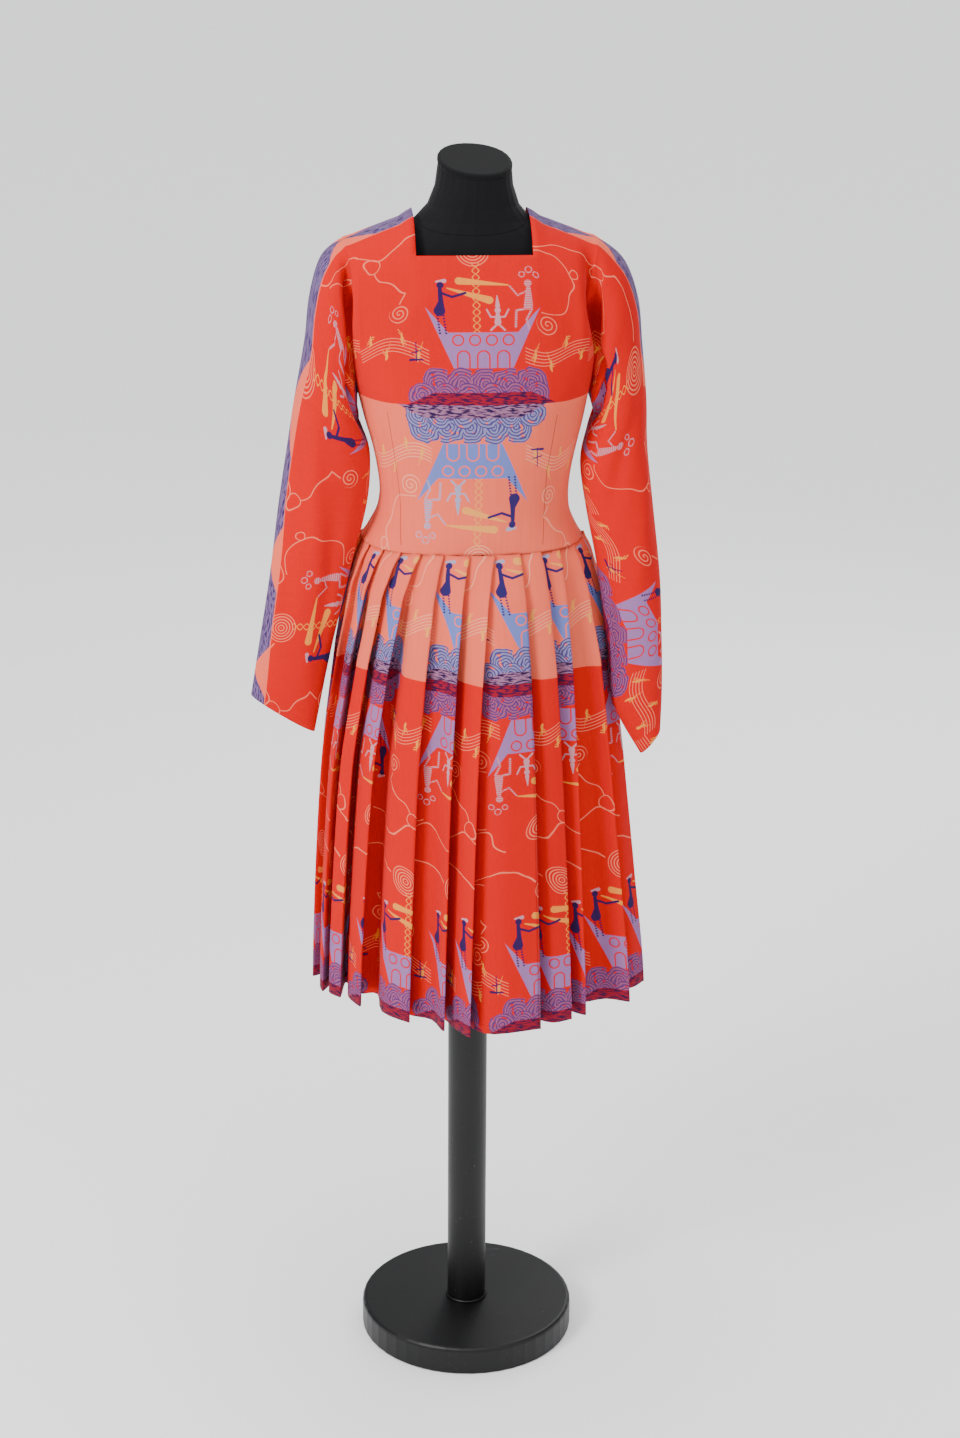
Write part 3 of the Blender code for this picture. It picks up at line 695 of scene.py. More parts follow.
@dataclass
class Skirt:
    """The knife-pleated skirt, a front and a back piece of one closed run of pleats."""

    bodice: Bodice
    hem: float = SKIRT_LOW[2]
    step_out: float = 0.0042
    step_in: float = 0.0018
    fold_width: float = 0.0042
    underlap: float = 0.010
    back_depth_share: float = 0.92
    take_up: float = 0.155
    cut_length: float = 0.664
    seam_point: int = 3
    points_each: int = 6
    cells_each: int = 3
    rows: int = 52
    spread_rows: tuple[tuple[float, float, float], ...] = (
        (0.000, 0.000, 0.000),
        (0.030, 0.120, 0.105),
        (0.090, 0.290, 0.235),
        (0.240, 0.520, 0.440),
        (0.460, 0.780, 0.620),
        (0.720, 0.920, 0.810),
        (1.000, 1.000, 1.000),
    )

    @property
    def top(self) -> float:
        """Height of the top edge.

        Returns:
            The height.
        """
        return self.bodice.waist - 0.0003

    def seam_angle(self, x: float) -> float:
        """The turn, from the left side through the front, at which the waist seam has this x.

        Args:
            x: The place across.

        Returns:
            The turn.
        """
        section = self.bodice.sections[-1]
        return math.acos(min(max(-(x - section.middle_x) / section.half_width, -1.0), 1.0))

    def on_seam(self, turn: float, inwards: float) -> Vector:
        """A point of the waist seam, moved inwards.

        Args:
            turn: The turn round the seam.
            inwards: How far in.

        Returns:
            The point, at no height.
        """
        section = self.bodice.sections[-1]
        depth = section.front if math.sin(turn) > 0.0 else section.back
        x = section.middle_x - (section.half_width - inwards) * math.cos(turn)
        return Vector((x, -(depth - inwards) * math.sin(turn), 0.0))

    def seam_folds(self, turn_before: float, turn: float) -> list[Vector]:
        """The six points of one pleat at the seam, between its neighbour's edge and its own.

        Args:
            turn_before: The turn of the pleat before.
            turn: The turn round the seam.

        Returns:
            The points.
        """
        behind = turn_before - self.underlap / self.bodice.sections[-1].half_width
        deep = self.step_in
        out = self.step_out
        return [
            self.on_seam(behind, deep - self.fold_width),
            self.on_seam(behind, deep),
            self.on_seam(turn_before + 0.01, deep - 0.001),
            self.on_seam(blend(turn_before, turn, 0.5), 0.5 * (deep - out)),
            self.on_seam(turn, -out),
            self.on_seam(turn - 0.004, self.fold_width - out),
        ]

    def fold_pair(self, before: Vector, corner: Vector, after: Vector) -> list[Vector]:
        """Two points that make a folded edge at a corner, a fold's width apart.

        Args:
            before: The point before it.
            corner: The corner.
            after: The point after it.

        Returns:
            The two points.
        """
        inwards = ((before - corner).normalized() + (after - corner).normalized()).normalized()
        along = Vector((-inwards.y, inwards.x, 0.0)) * 0.5 * self.fold_width
        if (before - corner).dot(along) < 0.0:
            along = -along
        return [corner + along, corner - along]

    def back_pleat(self, row: BackPleat, number: int) -> Pleat:
        """A back pleat in the same form as a front one.

        Args:
            row: The row of the back table.
            number: Its number, from 0.

        Returns:
            The pleat.
        """

        def around(turn: float, reach: float) -> tuple[float, float]:
            """A place on the plan from a turn and a reach.

            Args:
                turn: The turn round the seam.
                reach: The reach from the middle.

            Returns:
                The place.
            """
            angle = math.radians(turn)
            return (reach * math.cos(angle), self.back_depth_share * reach * math.sin(angle))

        width = 14.0
        across = FRONT_PLEATS[-1].print_seam + self.take_up * (number + 1)
        return Pleat(
            0.0,
            around(row.turn - width * (1.0 + row.lag), row.reach - row.depth),
            around(row.turn - width * (0.92 - 0.2 * row.lag), row.reach - 0.75 * row.depth),
            around(row.turn - 0.5 * width, row.reach - 0.12 * row.depth),
            around(row.turn, row.reach),
            across,
            across + 0.3 * (row.lag - 0.2),
        )

    def profiles(self) -> tuple[list[Vector], list[Vector], list[tuple[float, float]]]:
        """The control points of the whole skirt.

        Returns:
            The points at the seam, those at the hem, and for each pleat the place of its edge across the
            print at the seam and at the hem.
        """
        pleats = [(self.seam_angle(pleat.seam_x), pleat) for pleat in FRONT_PLEATS]
        last_turn = pleats[-1][0]
        first_turn = pleats[0][0] + 2.0 * math.pi
        for number, row in enumerate(BACK_PLEATS):
            turn = blend(last_turn, first_turn, (number + 1.0) / (len(BACK_PLEATS) + 1.0))
            pleats.append((turn, self.back_pleat(row, number)))
        seam: list[Vector] = []
        hem: list[Vector] = []
        prints = []
        for number, (turn, pleat) in enumerate(pleats):
            turn_before = pleats[number - 1][0] - (2.0 * math.pi if number == 0 else 0.0)
            edge_before = Vector((*pleats[number - 1][1].edge, 0.0))
            behind_after = Vector((*pleats[(number + 1) % len(pleats)][1].behind, 0.0))
            behind, hollow, panel, edge = (
                Vector((*pair, 0.0)) for pair in (pleat.behind, pleat.hollow, pleat.panel, pleat.edge)
            )
            seam.extend(self.seam_folds(turn_before, turn))
            hem.extend(self.fold_pair(edge_before, behind, hollow))
            hem.extend((hollow, panel))
            hem.extend(self.fold_pair(panel, edge, behind_after))
            prints.append((pleat.print_seam, pleat.print_hem))
        return seam, hem, prints

    def build(self, side: Side) -> bpy.types.Object:
        """Make the front or the back skirt.

        Args:
            side: Front or back.

        Returns:
            The piece's object.
        """
        seam, hem, prints = self.profiles()
        count = len(seam)
        front_end = self.points_each * len(FRONT_PLEATS) + self.seam_point
        first = self.seam_point if side is Side.FRONT else front_end
        last = front_end if side is Side.FRONT else count + self.seam_point
        left = min(point.x for point in hem)
        right = max(point.x for point in hem)
        columns = (last - first) * self.cells_each
        down_steps = [(row / self.rows) ** 1.15 for row in range(self.rows + 1)]
        levels = [self.level(share) for share in down_steps]

        def corner(number: int, row: int) -> Vector:
            """A control point at one row.

            Args:
                number: The number in the run.
                row: The row.

            Returns:
                The point.
            """
            inner = number % count
            spread_left, spread_right = levels[row]
            spread = blend(spread_left, spread_right, (hem[inner].x - left) / (right - left))
            return seam[inner].lerp(hem[inner], spread)

        worn: list[list[Vector]] = []
        for row, share in enumerate(down_steps):
            corners = [tuple(corner(number, row)) for number in range(first - 2, last + 3)]
            line = []
            for column in range(columns + 1):
                place = Vector(smooth_between(corners, 2.0 + column / self.cells_each))
                place.z = blend(self.top, self.hem, share)
                line.append(place)
            worn.append(line)
        layout = self.flat_layout(worn, prints, first, last, down_steps)
        name = "skirt_cloth_front" if side is Side.FRONT else "skirt_cloth_back"
        sheet = Sheet(name, columns, self.rows)
        return sheet.build(
            lambda c, r: True,
            lambda c, r: worn[r][c] + AXIS,
            lambda c, r: layout[r][c],
            lambda u, v: 0.0,
            False,
        )

    def level(self, drop: float) -> tuple[float, float]:
        """How far the skirt has spread on its left and right at a share of its length.

        Args:
            drop: The share of the skirt's length.

        Returns:
            The two shares.
        """
        rows = self.spread_rows
        for number, (lower, upper) in enumerate(zip(rows, rows[1:])):
            if drop <= upper[0] + 1e-9:
                at = number + (drop - lower[0]) / (upper[0] - lower[0])
                made = smooth_between(rows, at)
                return made[1], made[2]
        return 1.0, 1.0

    def flat_layout(
        self,
        worn: Sequence[Sequence[Vector]],
        prints: Sequence[tuple[float, float]],
        first: int,
        last: int,
        down_steps: Sequence[float],
    ) -> list[list[tuple[float, float]]]:
        """Lay the pleats out flat: true to scale on each panel, with the rest taken up in the hidden part.

        Args:
            worn: The worn points, row by row.
            prints: Each pleat's edge across the print, at the seam and at the hem.
            first: The first control point's number.
            last: The last control point's number.
            down_steps: Each row's share of the skirt's length.

        Returns:
            For each row, the flat place of each column.
        """
        cells = self.cells_each
        pleat_count = len(prints)
        whole = prints[-1][0] + self.take_up
        rows = []
        for row, share in enumerate(down_steps):
            line = worn[row]
            run = [0.0]
            for before, after in zip(line, line[1:]):
                run.append(run[-1] + (after - before).length)
            anchors: list[tuple[int, float]] = []
            ease = min(max((share - 0.50) / 0.22, 0.0), 1.0)
            ease = ease * ease * (3.0 - 2.0 * ease)
            for number in range(first // self.points_each - 1, last // self.points_each + 2):
                turns, inner = divmod(number, pleat_count)
                at_seam, at_hem = prints[inner]
                across = blend(at_seam, at_hem, ease) + turns * whole
                edge_column = (number * self.points_each + 4 - first) * cells + cells // 2
                hollow_column = (number * self.points_each + 2 - first) * cells
                if 0 <= edge_column < len(run):
                    start = max(hollow_column, 0)
                    anchors.append((start, across - (run[edge_column] - run[start])))
                    anchors.append((edge_column, across))
                elif 0 <= hollow_column < len(run):
                    anchors.append((hollow_column, across - 0.5 * self.take_up))
                    anchors.append((len(run) - 1, across - 0.5 * self.take_up + run[-1] - run[hollow_column]))
            across_line = []
            for column in range(len(run)):
                across_line.append(self.between_anchors(anchors, run, column))
            rows.append([(across, share * self.cut_length) for across in across_line])
        return rows

    @staticmethod
    def between_anchors(anchors: Sequence[tuple[int, float]], run: Sequence[float], column: int) -> float:
        """The flat place across at a column, from its two neighbouring known columns.

        Args:
            anchors: The known columns and their flat places.
            run: The length up to each column.
            column: The column.

        Returns:
            The flat place.
        """
        ahead = next((item for item in anchors if item[0] >= column), None)
        passed = next((item for item in reversed(anchors) if item[0] <= column), None)
        if ahead is None or passed is None:
            known = passed if ahead is None else ahead
            return known[1] + run[column] - run[known[0]]
        if ahead[0] == passed[0]:
            return ahead[1]
        span = run[ahead[0]] - run[passed[0]]
        return blend(passed[1], ahead[1], (run[column] - run[passed[0]]) / span)


# ---- Drawing with shader nodes ------------------------------------------------------------------------


@dataclass
class Pen:
    """Draws in a node tree. A shape is a distance in metres: below 0 inside it, above 0 outside."""

    tree: bpy.types.NodeTree

    def feed(self, socket: Socket, value: Socket | float | Sequence[float]) -> None:
        """Link a socket to another, or set it to a number or numbers.

        Args:
            socket: The input.
            value: A socket to link, or a number or numbers to set.
        """
        if isinstance(value, bpy.types.NodeSocket):
            self.tree.links.new(value, socket)
        else:
            socket.default_value = value

    def math(self, operation: str, *values: Socket | float, clamp: bool = False) -> Socket:
        """One sum with numbers.

        Args:
            operation: The Math node's operation.
            values: Its inputs, in order.
            clamp: True to hold the answer between 0 and 1.

        Returns:
            The answer.
        """
        node = self.tree.nodes.new("ShaderNodeMath")
        node.operation = operation
        node.use_clamp = clamp
        for socket, value in zip(node.inputs, values):
            self.feed(socket, value)
        return node.outputs[0]

    def vector(self, operation: str, *values: Socket | Sequence[float], scale: Socket | None = None) -> Socket:
        """One sum with vectors.

        Args:
            operation: The node's operation.
            values: Its inputs, in order.
            scale: The factor of a SCALE.

        Returns:
            The answer.
        """
        node = self.tree.nodes.new("ShaderNodeVectorMath")
        node.operation = operation
        for socket, value in zip(node.inputs, values):
            self.feed(socket, value)
        if scale is not None:
            self.feed(node.inputs["Scale"], scale)
        named = "Value" if operation in ("DOT_PRODUCT", "DISTANCE", "LENGTH") else "Vector"
        return node.outputs[named]

    def place(self, across: Socket | float, away: Socket | float, out: Socket | float = 0.0) -> Socket:
        """A place from two or three numbers.

        Args:
            across: The first number.
            away: The second number.
            out: The third number.

        Returns:
            The place.
        """
        node = self.tree.nodes.new("ShaderNodeCombineXYZ")
        for socket, value in zip(node.inputs, (across, away, out)):
            self.feed(socket, value)
        return node.outputs[0]

    def parts(self, place: Socket) -> tuple[Socket, Socket, Socket]:
        """The numbers of a place.

        Args:
            place: The place.

        Returns:
            The three numbers.
        """
        node = self.tree.nodes.new("ShaderNodeSeparateXYZ")
        self.feed(node.inputs[0], place)
        return node.outputs[0], node.outputs[1], node.outputs[2]

    def noise(self, place: Socket, scale: float, detail: float = 2.0) -> Socket:
        """Soft random numbers from 0 to 1.

        Args:
            place: The place.
            scale: The scale.
            detail: The octaves of detail.

        Returns:
            The random numbers.
        """
        node = self.tree.nodes.new("ShaderNodeTexNoise")
        self.feed(node.inputs["Vector"], place)
        node.inputs["Scale"].default_value = scale
        node.inputs["Detail"].default_value = detail
        return node.outputs["Fac"]

    def mix(self, share: Socket, first: Socket | Colour, second: Socket | Colour) -> Socket:
        """A colour between two.

        Args:
            share: The share of the way, from 0 to 1.
            first: The colour at share 0.
            second: The colour at share 1.

        Returns:
            The colour.
        """
        node = self.tree.nodes.new("ShaderNodeMix")
        node.data_type = "RGBA"
        self.feed(node.inputs["Factor"], share)
        self.feed(node.inputs[6], first)
        self.feed(node.inputs[7], second)
        return node.outputs[2]

    def bump(self, height: Socket, strength: float, distance: float) -> Socket:
        """A normal from a height.

        Args:
            height: The height.
            strength: The strength.
            distance: How far the height reaches, in metres.

        Returns:
            The normal.
        """
        node = self.tree.nodes.new("ShaderNodeBump")
        node.inputs["Strength"].default_value = strength
        node.inputs["Distance"].default_value = distance
        self.feed(node.inputs["Height"], height)
        return node.outputs[0]

    def first_of(self, *shapes: Socket) -> Socket:
        """All of the shapes together.

        Args:
            shapes: The shapes.

        Returns:
            The joined shape.
        """
        joined = shapes[0]
        for shape in shapes[1:]:
            joined = self.math("MINIMUM", joined, shape)
        return joined

    def common(self, *shapes: Socket) -> Socket:
        """Only where all of the shapes overlap.

        Args:
            shapes: The shapes.

        Returns:
            The shared shape.
        """
        joined = shapes[0]
        for shape in shapes[1:]:
            joined = self.math("MAXIMUM", joined, shape)
        return joined

    def dot(self, spot: Socket, across: float, away: float, radius: float) -> Socket:
        """A round spot.

        Args:
            spot: The place in the scene.
            across: Its middle, across.
            away: Its middle, away from the band.
            radius: The radius.

        Returns:
            The shape.
        """
        return self.math("SUBTRACT", self.vector("DISTANCE", spot, (across, away, 0.0)), radius)

    def ring(self, spot: Socket, across: float, away: float, radius: float, half: float) -> Socket:
        """A thin ring.

        Args:
            spot: The place in the scene.
            across: Its middle, across.
            away: Its middle, away from the band.
            radius: The radius.
            half: Half the width of the line.

        Returns:
            The shape.
        """
        return self.math("SUBTRACT", self.math("ABSOLUTE", self.dot(spot, across, away, radius)), half)

    def stroke(
        self, spot: Socket, start: tuple[float, float], end: tuple[float, float], half: float, end_half: float
    ) -> Socket:
        """A straight stroke with round ends, half wide at its start and end_half wide at its end.

        Args:
            spot: The place in the scene.
            start: Where it starts.
            end: Where it ends.
            half: Half its width at the start.
            end_half: Half its width at the end.

        Returns:
            The shape.
        """
        run = (end[0] - start[0], end[1] - start[1], 0.0)
        squared = run[0] * run[0] + run[1] * run[1]
        from_start = self.vector("SUBTRACT", spot, (start[0], start[1], 0.0))
        along = self.vector("DOT_PRODUCT", from_start, tuple(value / squared for value in run))
        along = self.math("MULTIPLY", along, 1.0, clamp=True)
        nearest = self.vector("SCALE", run, scale=along)
        gap = self.vector("DISTANCE", from_start, nearest)
        if half == end_half:
            return self.math("SUBTRACT", gap, half)
        return self.math("SUBTRACT", gap, self.math("MULTIPLY_ADD", along, end_half - half, half))

    def path(self, spot: Socket, half: float, *points: tuple[float, float]) -> Socket:
        """A run of straight strokes through points.

        Args:
            spot: The place in the scene.
            half: Half the width of the line.
            points: The points, in order.

        Returns:
            The shape.
        """
        strokes = [self.stroke(spot, start, end, half, half) for start, end in zip(points, points[1:])]
        return self.first_of(*strokes)

    def coil(self, spot: Socket, across: float, away: float, radius: float, gap: float, half: float) -> Socket:
        """A spiral line inside a circle, its turns a gap apart.

        Args:
            spot: The place in the scene.
            across: Its middle, across.
            away: Its middle, away from the band.
            radius: The radius.
            gap: The distance between turns.
            half: Half the width of the line.

        Returns:
            The shape.
        """
        from_middle = self.vector("SUBTRACT", spot, (across, away, 0.0))
        side, up, _ = self.parts(from_middle)
        turn = self.math("ARCTAN2", up, side)
        reach = self.vector("LENGTH", from_middle)
        spread = self.math("MULTIPLY_ADD", turn, gap / (2.0 * math.pi), reach)
        line = self.math("PINGPONG", spread, 0.5 * gap)
        line = self.math("SUBTRACT", line, half)
        return self.math("MAXIMUM", line, self.math("SUBTRACT", reach, radius))

    def fold(self, value: Socket, step: float, fewest: float, most: float) -> Socket:
        """A value measured from the nearest of a run of places a step apart.

        Args:
            value: The value.
            step: The distance between places.
            fewest: The lowest place number.
            most: The highest place number.

        Returns:
            The value from the nearest place.
        """
        number = self.math("ROUND", self.math("MULTIPLY", value, 1.0 / step))
        number = self.math("MINIMUM", self.math("MAXIMUM", number, fewest), most)
        return self.math("MULTIPLY_ADD", number, -step, value)

    def cover(self, shape: Socket, soft: float = 0.0007) -> Socket:
        """1 inside a shape and 0 outside it, with a soft edge.

        Args:
            shape: The shape.
            soft: The width of the soft edge.

        Returns:
            The mask.
        """
        return self.math("MULTIPLY_ADD", shape, -1.0 / soft, 0.5, clamp=True)


@dataclass(frozen=True)
class Ink:
    """One ink of the print, as it looks on each ground."""

    on_red: Colour
    on_salmon: Colour


GROUND = Ink(screen_colour(212, 4, 5), screen_colour(246, 104, 78))
LINE = Ink(screen_colour(242, 118, 90), screen_colour(250, 160, 128))
YELLOW = Ink(screen_colour(236, 142, 54), screen_colour(244, 160, 76))
HULL = Ink(screen_colour(150, 108, 160), screen_colour(104, 120, 188))
WAVE = Ink(screen_colour(150, 80, 116), screen_colour(132, 128, 172))
WAVE_LINE = Ink(screen_colour(80, 50, 108), screen_colour(66, 64, 124))
BAND = Ink(screen_colour(150, 22, 44), screen_colour(150, 104, 136))
DASH = Ink(screen_colour(44, 16, 62), screen_colour(28, 22, 66))
NAVY = Ink(screen_colour(36, 24, 80), screen_colour(36, 36, 96))
PALE = Ink(screen_colour(196, 136, 148), screen_colour(158, 156, 186))
STRIP_TONE = screen_colour(112, 92, 134)
STRIP_LINE_TONE = screen_colour(42, 32, 84)


def new_group(name: str, takes: Sequence[tuple[str, str]], gives: Sequence[tuple[str, str]]) -> bpy.types.NodeTree:
    """An empty node group.

    Args:
        name: The group's name.
        takes: Its inputs, as names and socket kinds.
        gives: Its outputs.

    Returns:
        The group, with its input and output nodes in it.
    """
    group = bpy.data.node_groups.new(name, "ShaderNodeTree")
    for label, kind in takes:
        group.interface.new_socket(label, in_out="INPUT", socket_type=kind)
    for label, kind in gives:
        group.interface.new_socket(label, in_out="OUTPUT", socket_type=kind)
    group.nodes.new("NodeGroupInput")
    group.nodes.new("NodeGroupOutput")
    return group


@dataclass
class ShipPrint:
    """The figured print: a ship on waves with players on its deck, on one side of a band of dashes.

    x is measured from the middle of the scene and w away from the band, both in metres. The scene on the
    other side of a band is the same, turned half round.
    """

    hull_middle: float = 0.008
    hull_low: float = 0.052
    deck: float = 0.101
    band_middle: float = 0.007
    band_half_length: float = 0.098
    band_half_height: float = 0.0175
    hull_lean: float = 0.4226
    hull_half_foot: float = 0.0385
    hull_squeeze: float = 0.92
    line_half: float = 0.0008

    def paint(self, pen: Pen, below: Socket, shape: Socket, ink: Ink, pale: Socket) -> Socket:
        """Lay one ink over what is there.

        Args:
            pen: The pen to draw with.
            below: The colour so far.
            shape: The shape.
            ink: The ink.
            pale: 1 on the salmon ground and 0 on the red.

        Returns:
            The colour.
        """
        return pen.mix(pen.cover(shape), below, pen.mix(pale, ink.on_red, ink.on_salmon))

    def hull(self, pen: Pen, spot: Socket) -> Socket:
        """The hull, less its row of rings and its three arches.

        Args:
            pen: The pen to draw with.
            spot: The place in the scene.

        Returns:
            The shape.
        """
        side, w, _ = pen.parts(pen.vector("SUBTRACT", spot, (self.hull_middle, 0.0, 0.0)))
        out = pen.math("ABSOLUTE", side)
        rail = pen.math("MULTIPLY_ADD", out, 1.2, self.deck - 0.054)
        over = pen.math("SUBTRACT", w, pen.math("MAXIMUM", rail, self.deck))
        foot = (self.hull_lean * self.hull_low - self.hull_half_foot) * self.hull_squeeze
        flare = pen.math("MULTIPLY_ADD", w, -self.hull_lean * self.hull_squeeze, foot)
        beside = pen.math("MULTIPLY_ADD", out, self.hull_squeeze, flare)
        under = pen.math("SUBTRACT", self.hull_low, w)
        ring_side = pen.math("ABSOLUTE", pen.math("SUBTRACT", out, 0.0216))
        rings = pen.ring(pen.place(ring_side, w), 0.0108, 0.0905, 0.0070, 0.0010)
        arch_side = pen.fold(side, 0.0257, -1.0, 1.0)
        arch_up = pen.math("MAXIMUM", pen.math("SUBTRACT", w, 0.068), 0.0)
        arches = pen.ring(pen.place(arch_side, arch_up), 0.0, 0.0, 0.0078, 0.0010)
        cut = pen.math("MULTIPLY", pen.first_of(rings, arches), -1.0)
        return pen.common(over, beside, under, cut)

    def waves(self, pen: Pen, spot: Socket) -> tuple[Socket, Socket]:
        """The waves and the lines in them: two rows of scallops with arcs inside.

        Args:
            pen: The pen to draw with.
            spot: The place in the scene.

        Returns:
            The waves and their lines.
        """
        ripple = pen.math("MULTIPLY_ADD", pen.noise(spot, 70.0, 1.0), 0.010, -0.011)
        x, w, _ = pen.parts(pen.vector("ADD", spot, pen.place(ripple, pen.math("MULTIPLY", ripple, -0.7))))
        high = pen.place(pen.fold(x, 0.030, -2.0, 2.0), w)
        low = pen.place(pen.fold(pen.math("SUBTRACT", x, 0.015), 0.030, -3.0, 2.0), w)
        high_reach = pen.vector("DISTANCE", high, (0.004, 0.034, 0.0))
        low_reach = pen.vector("DISTANCE", low, (-0.003, 0.018, 0.0))
        high_shape = pen.math("SUBTRACT", high_reach, 0.0225)
        low_shape = pen.math("SUBTRACT", low_reach, 0.0175)
        in_low = pen.math("LESS_THAN", low_shape, 0.0)
        reach = pen.math("MULTIPLY_ADD", in_low, pen.math("SUBTRACT", low_reach, high_reach), high_reach)
        arcs = pen.math("SUBTRACT", pen.math("PINGPONG", reach, 0.0021), 0.0009)
        shape = pen.first_of(high_shape, low_shape)
        shape = pen.common(shape, pen.math("SUBTRACT", 0.006, w))
        gaps = pen.math("MULTIPLY_ADD", pen.noise(spot, 150.0, 0.0), 0.020, -0.0135)
        return pen.common(shape, gaps), pen.common(arcs, shape)

    def band(self, pen: Pen, spot: Socket) -> tuple[Socket, Socket]:
        """The pointed band and the dashes in it.

        Args:
            pen: The pen to draw with.
            spot: The place in the scene.

        Returns:
            The band and its dashes.
        """
        x, w, _ = pen.parts(spot)
        out = pen.math("ABSOLUTE", pen.math("SUBTRACT", x, self.band_middle))
        taper = pen.math("MULTIPLY_ADD", out, -0.5, 0.5 * self.band_half_length)
        shape = pen.math("SUBTRACT", w, pen.math("MINIMUM", taper, self.band_half_height))
        grain = pen.noise(pen.vector("MULTIPLY", spot, (95.0, 430.0, 0.0)), 1.0, 1.0)
        dashes = pen.math("MULTIPLY_ADD", grain, -0.006, 0.0031)
        return shape, pen.common(shape, dashes)

    def staves(self, pen: Pen, spot: Socket) -> tuple[Socket, Socket]:
        """Five wavy music lines at each side of the ship, and the winged notes on them.

        Args:
            pen: The pen to draw with.
            spot: The place in the scene.

        Returns:
            The lines and the notes.
        """
        x, w, _ = pen.parts(spot)
        out = pen.math("ABSOLUTE", x)
        swell = pen.math("SINE", pen.math("MULTIPLY_ADD", x, 48.0, 0.7))
        level = pen.math("MULTIPLY_ADD", swell, 0.0130, 0.076)
        up = pen.math("SUBTRACT", w, level)
        lines = pen.math("ABSOLUTE", pen.fold(up, 0.0048, -2.0, 2.0))
        lines = pen.math("SUBTRACT", lines, 0.0006)
        clear = pen.math("SUBTRACT", 0.062, out)
        note_side = pen.math("SUBTRACT", pen.math("PINGPONG", x, 0.0215), 0.0108)
        hop = pen.math("SINE", pen.math("MULTIPLY", x, 170.0))
        note = pen.place(pen.math("ABSOLUTE", note_side), pen.math("MULTIPLY_ADD", hop, -0.016, up))
        notes = pen.first_of(
            pen.stroke(note, (0.0, 0.0045), (0.0052, 0.0072), 0.0010, 0.0006),
            pen.stroke(note, (0.0, 0.0010), (0.0042, 0.0032), 0.0009, 0.0005),
            pen.stroke(note, (0.0, -0.0050), (0.0, 0.0085), 0.0022, 0.0005),
        )
        notes = pen.common(notes, clear)
        return pen.common(lines, clear), notes

    def ropes(self, pen: Pen, spot: Socket) -> Socket:
        """The long curling ropes, their loops and coils, and the round balloon of arcs.

        Args:
            pen: The pen to draw with.
            spot: The place in the scene.

        Returns:
            The shape.
        """
        half = self.line_half
        elsewhere = pen.vector("ADD", spot, (3.1, 1.7, 0.0))
        sway, bob = (
            pen.math("MULTIPLY_ADD", pen.noise(place, 27.0, 0.0), 0.020, -0.010) for place in (spot, elsewhere)
        )
        slack = pen.vector("ADD", spot, pen.place(sway, bob))
        x, w, _ = pen.parts(slack)
        right = pen.common(pen.ring(slack, 0.0865, 0.172, 0.0445, half), pen.math("SUBTRACT", 0.078, x))
        wander = pen.math("SINE", pen.math("MULTIPLY", x, 2.0 * math.pi / 0.1))
        drift = pen.math("SUBTRACT", w, pen.math("MULTIPLY_ADD", wander, 0.011, 0.2320))
        long_rope = pen.math("SUBTRACT", pen.math("ABSOLUTE", drift), 0.0010)
        long_rope = pen.common(long_rope, pen.math("SUBTRACT", 0.030, pen.math("ABSOLUTE", x)))
        loops = pen.first_of(
            pen.ring(slack, -0.138, 0.214, 0.0105, half), pen.ring(slack, 0.131, 0.198, 0.0075, half)
        )
        trail = pen.path(slack, half, (-0.098, 0.146), (-0.093, 0.160), (-0.1215, 0.184), (-0.135, 0.204))
        coils = pen.first_of(
            pen.coil(spot, -0.100, 0.133, 0.0135, 0.0056, half), pen.coil(spot, 0.092, 0.114, 0.0150, 0.0062, half)
        )
        from_balloon = pen.vector("DISTANCE", spot, (-0.003, 0.213, 0.0))
        arcs = pen.math("SUBTRACT", pen.math("PINGPONG", from_balloon, 0.0021), half)
        balloon = pen.common(arcs, pen.math("SUBTRACT", from_balloon, 0.0215))
        return pen.first_of(right, long_rope, loops, trail, coils, balloon)

    def standing_player(self, pen: Pen, spot: Socket) -> tuple[Socket, Socket, Socket]:
        """The dark player on dotted legs, the player's hat, and the horn.

        Args:
            pen: The pen to draw with.
            spot: The place in the scene.

        Returns:
            The player, the hat and the horn.
        """
        _, w, _ = pen.parts(spot)
        body = pen.first_of(
            pen.dot(spot, -0.046, 0.1655, 0.0046),
            pen.stroke(spot, (-0.0465, 0.160), (-0.0455, 0.142), 0.0026, 0.0034),
            pen.stroke(spot, (-0.0455, 0.143), (-0.0475, 0.131), 0.0034, 0.0076),
            pen.path(spot, 0.0017, (-0.045, 0.155), (-0.031, 0.1495), (-0.014, 0.155)),
        )
        legs = pen.first_of(
            pen.stroke(spot, (-0.0505, 0.127), (-0.0475, 0.099), 0.0013, 0.0013),
            pen.stroke(spot, (-0.0430, 0.127), (-0.0395, 0.099), 0.0013, 0.0013),
        )
        beads = pen.math("SUBTRACT", pen.math("PINGPONG", w, 0.0020), 0.0012)
        hat = pen.stroke(spot, (-0.051, 0.1705), (-0.0405, 0.1715), 0.0012, 0.0028)
        horn = pen.stroke(spot, (-0.037, 0.1615), (0.0165, 0.1450), 0.0009, 0.0052)
        return pen.first_of(body, pen.common(legs, beads)), hat, horn

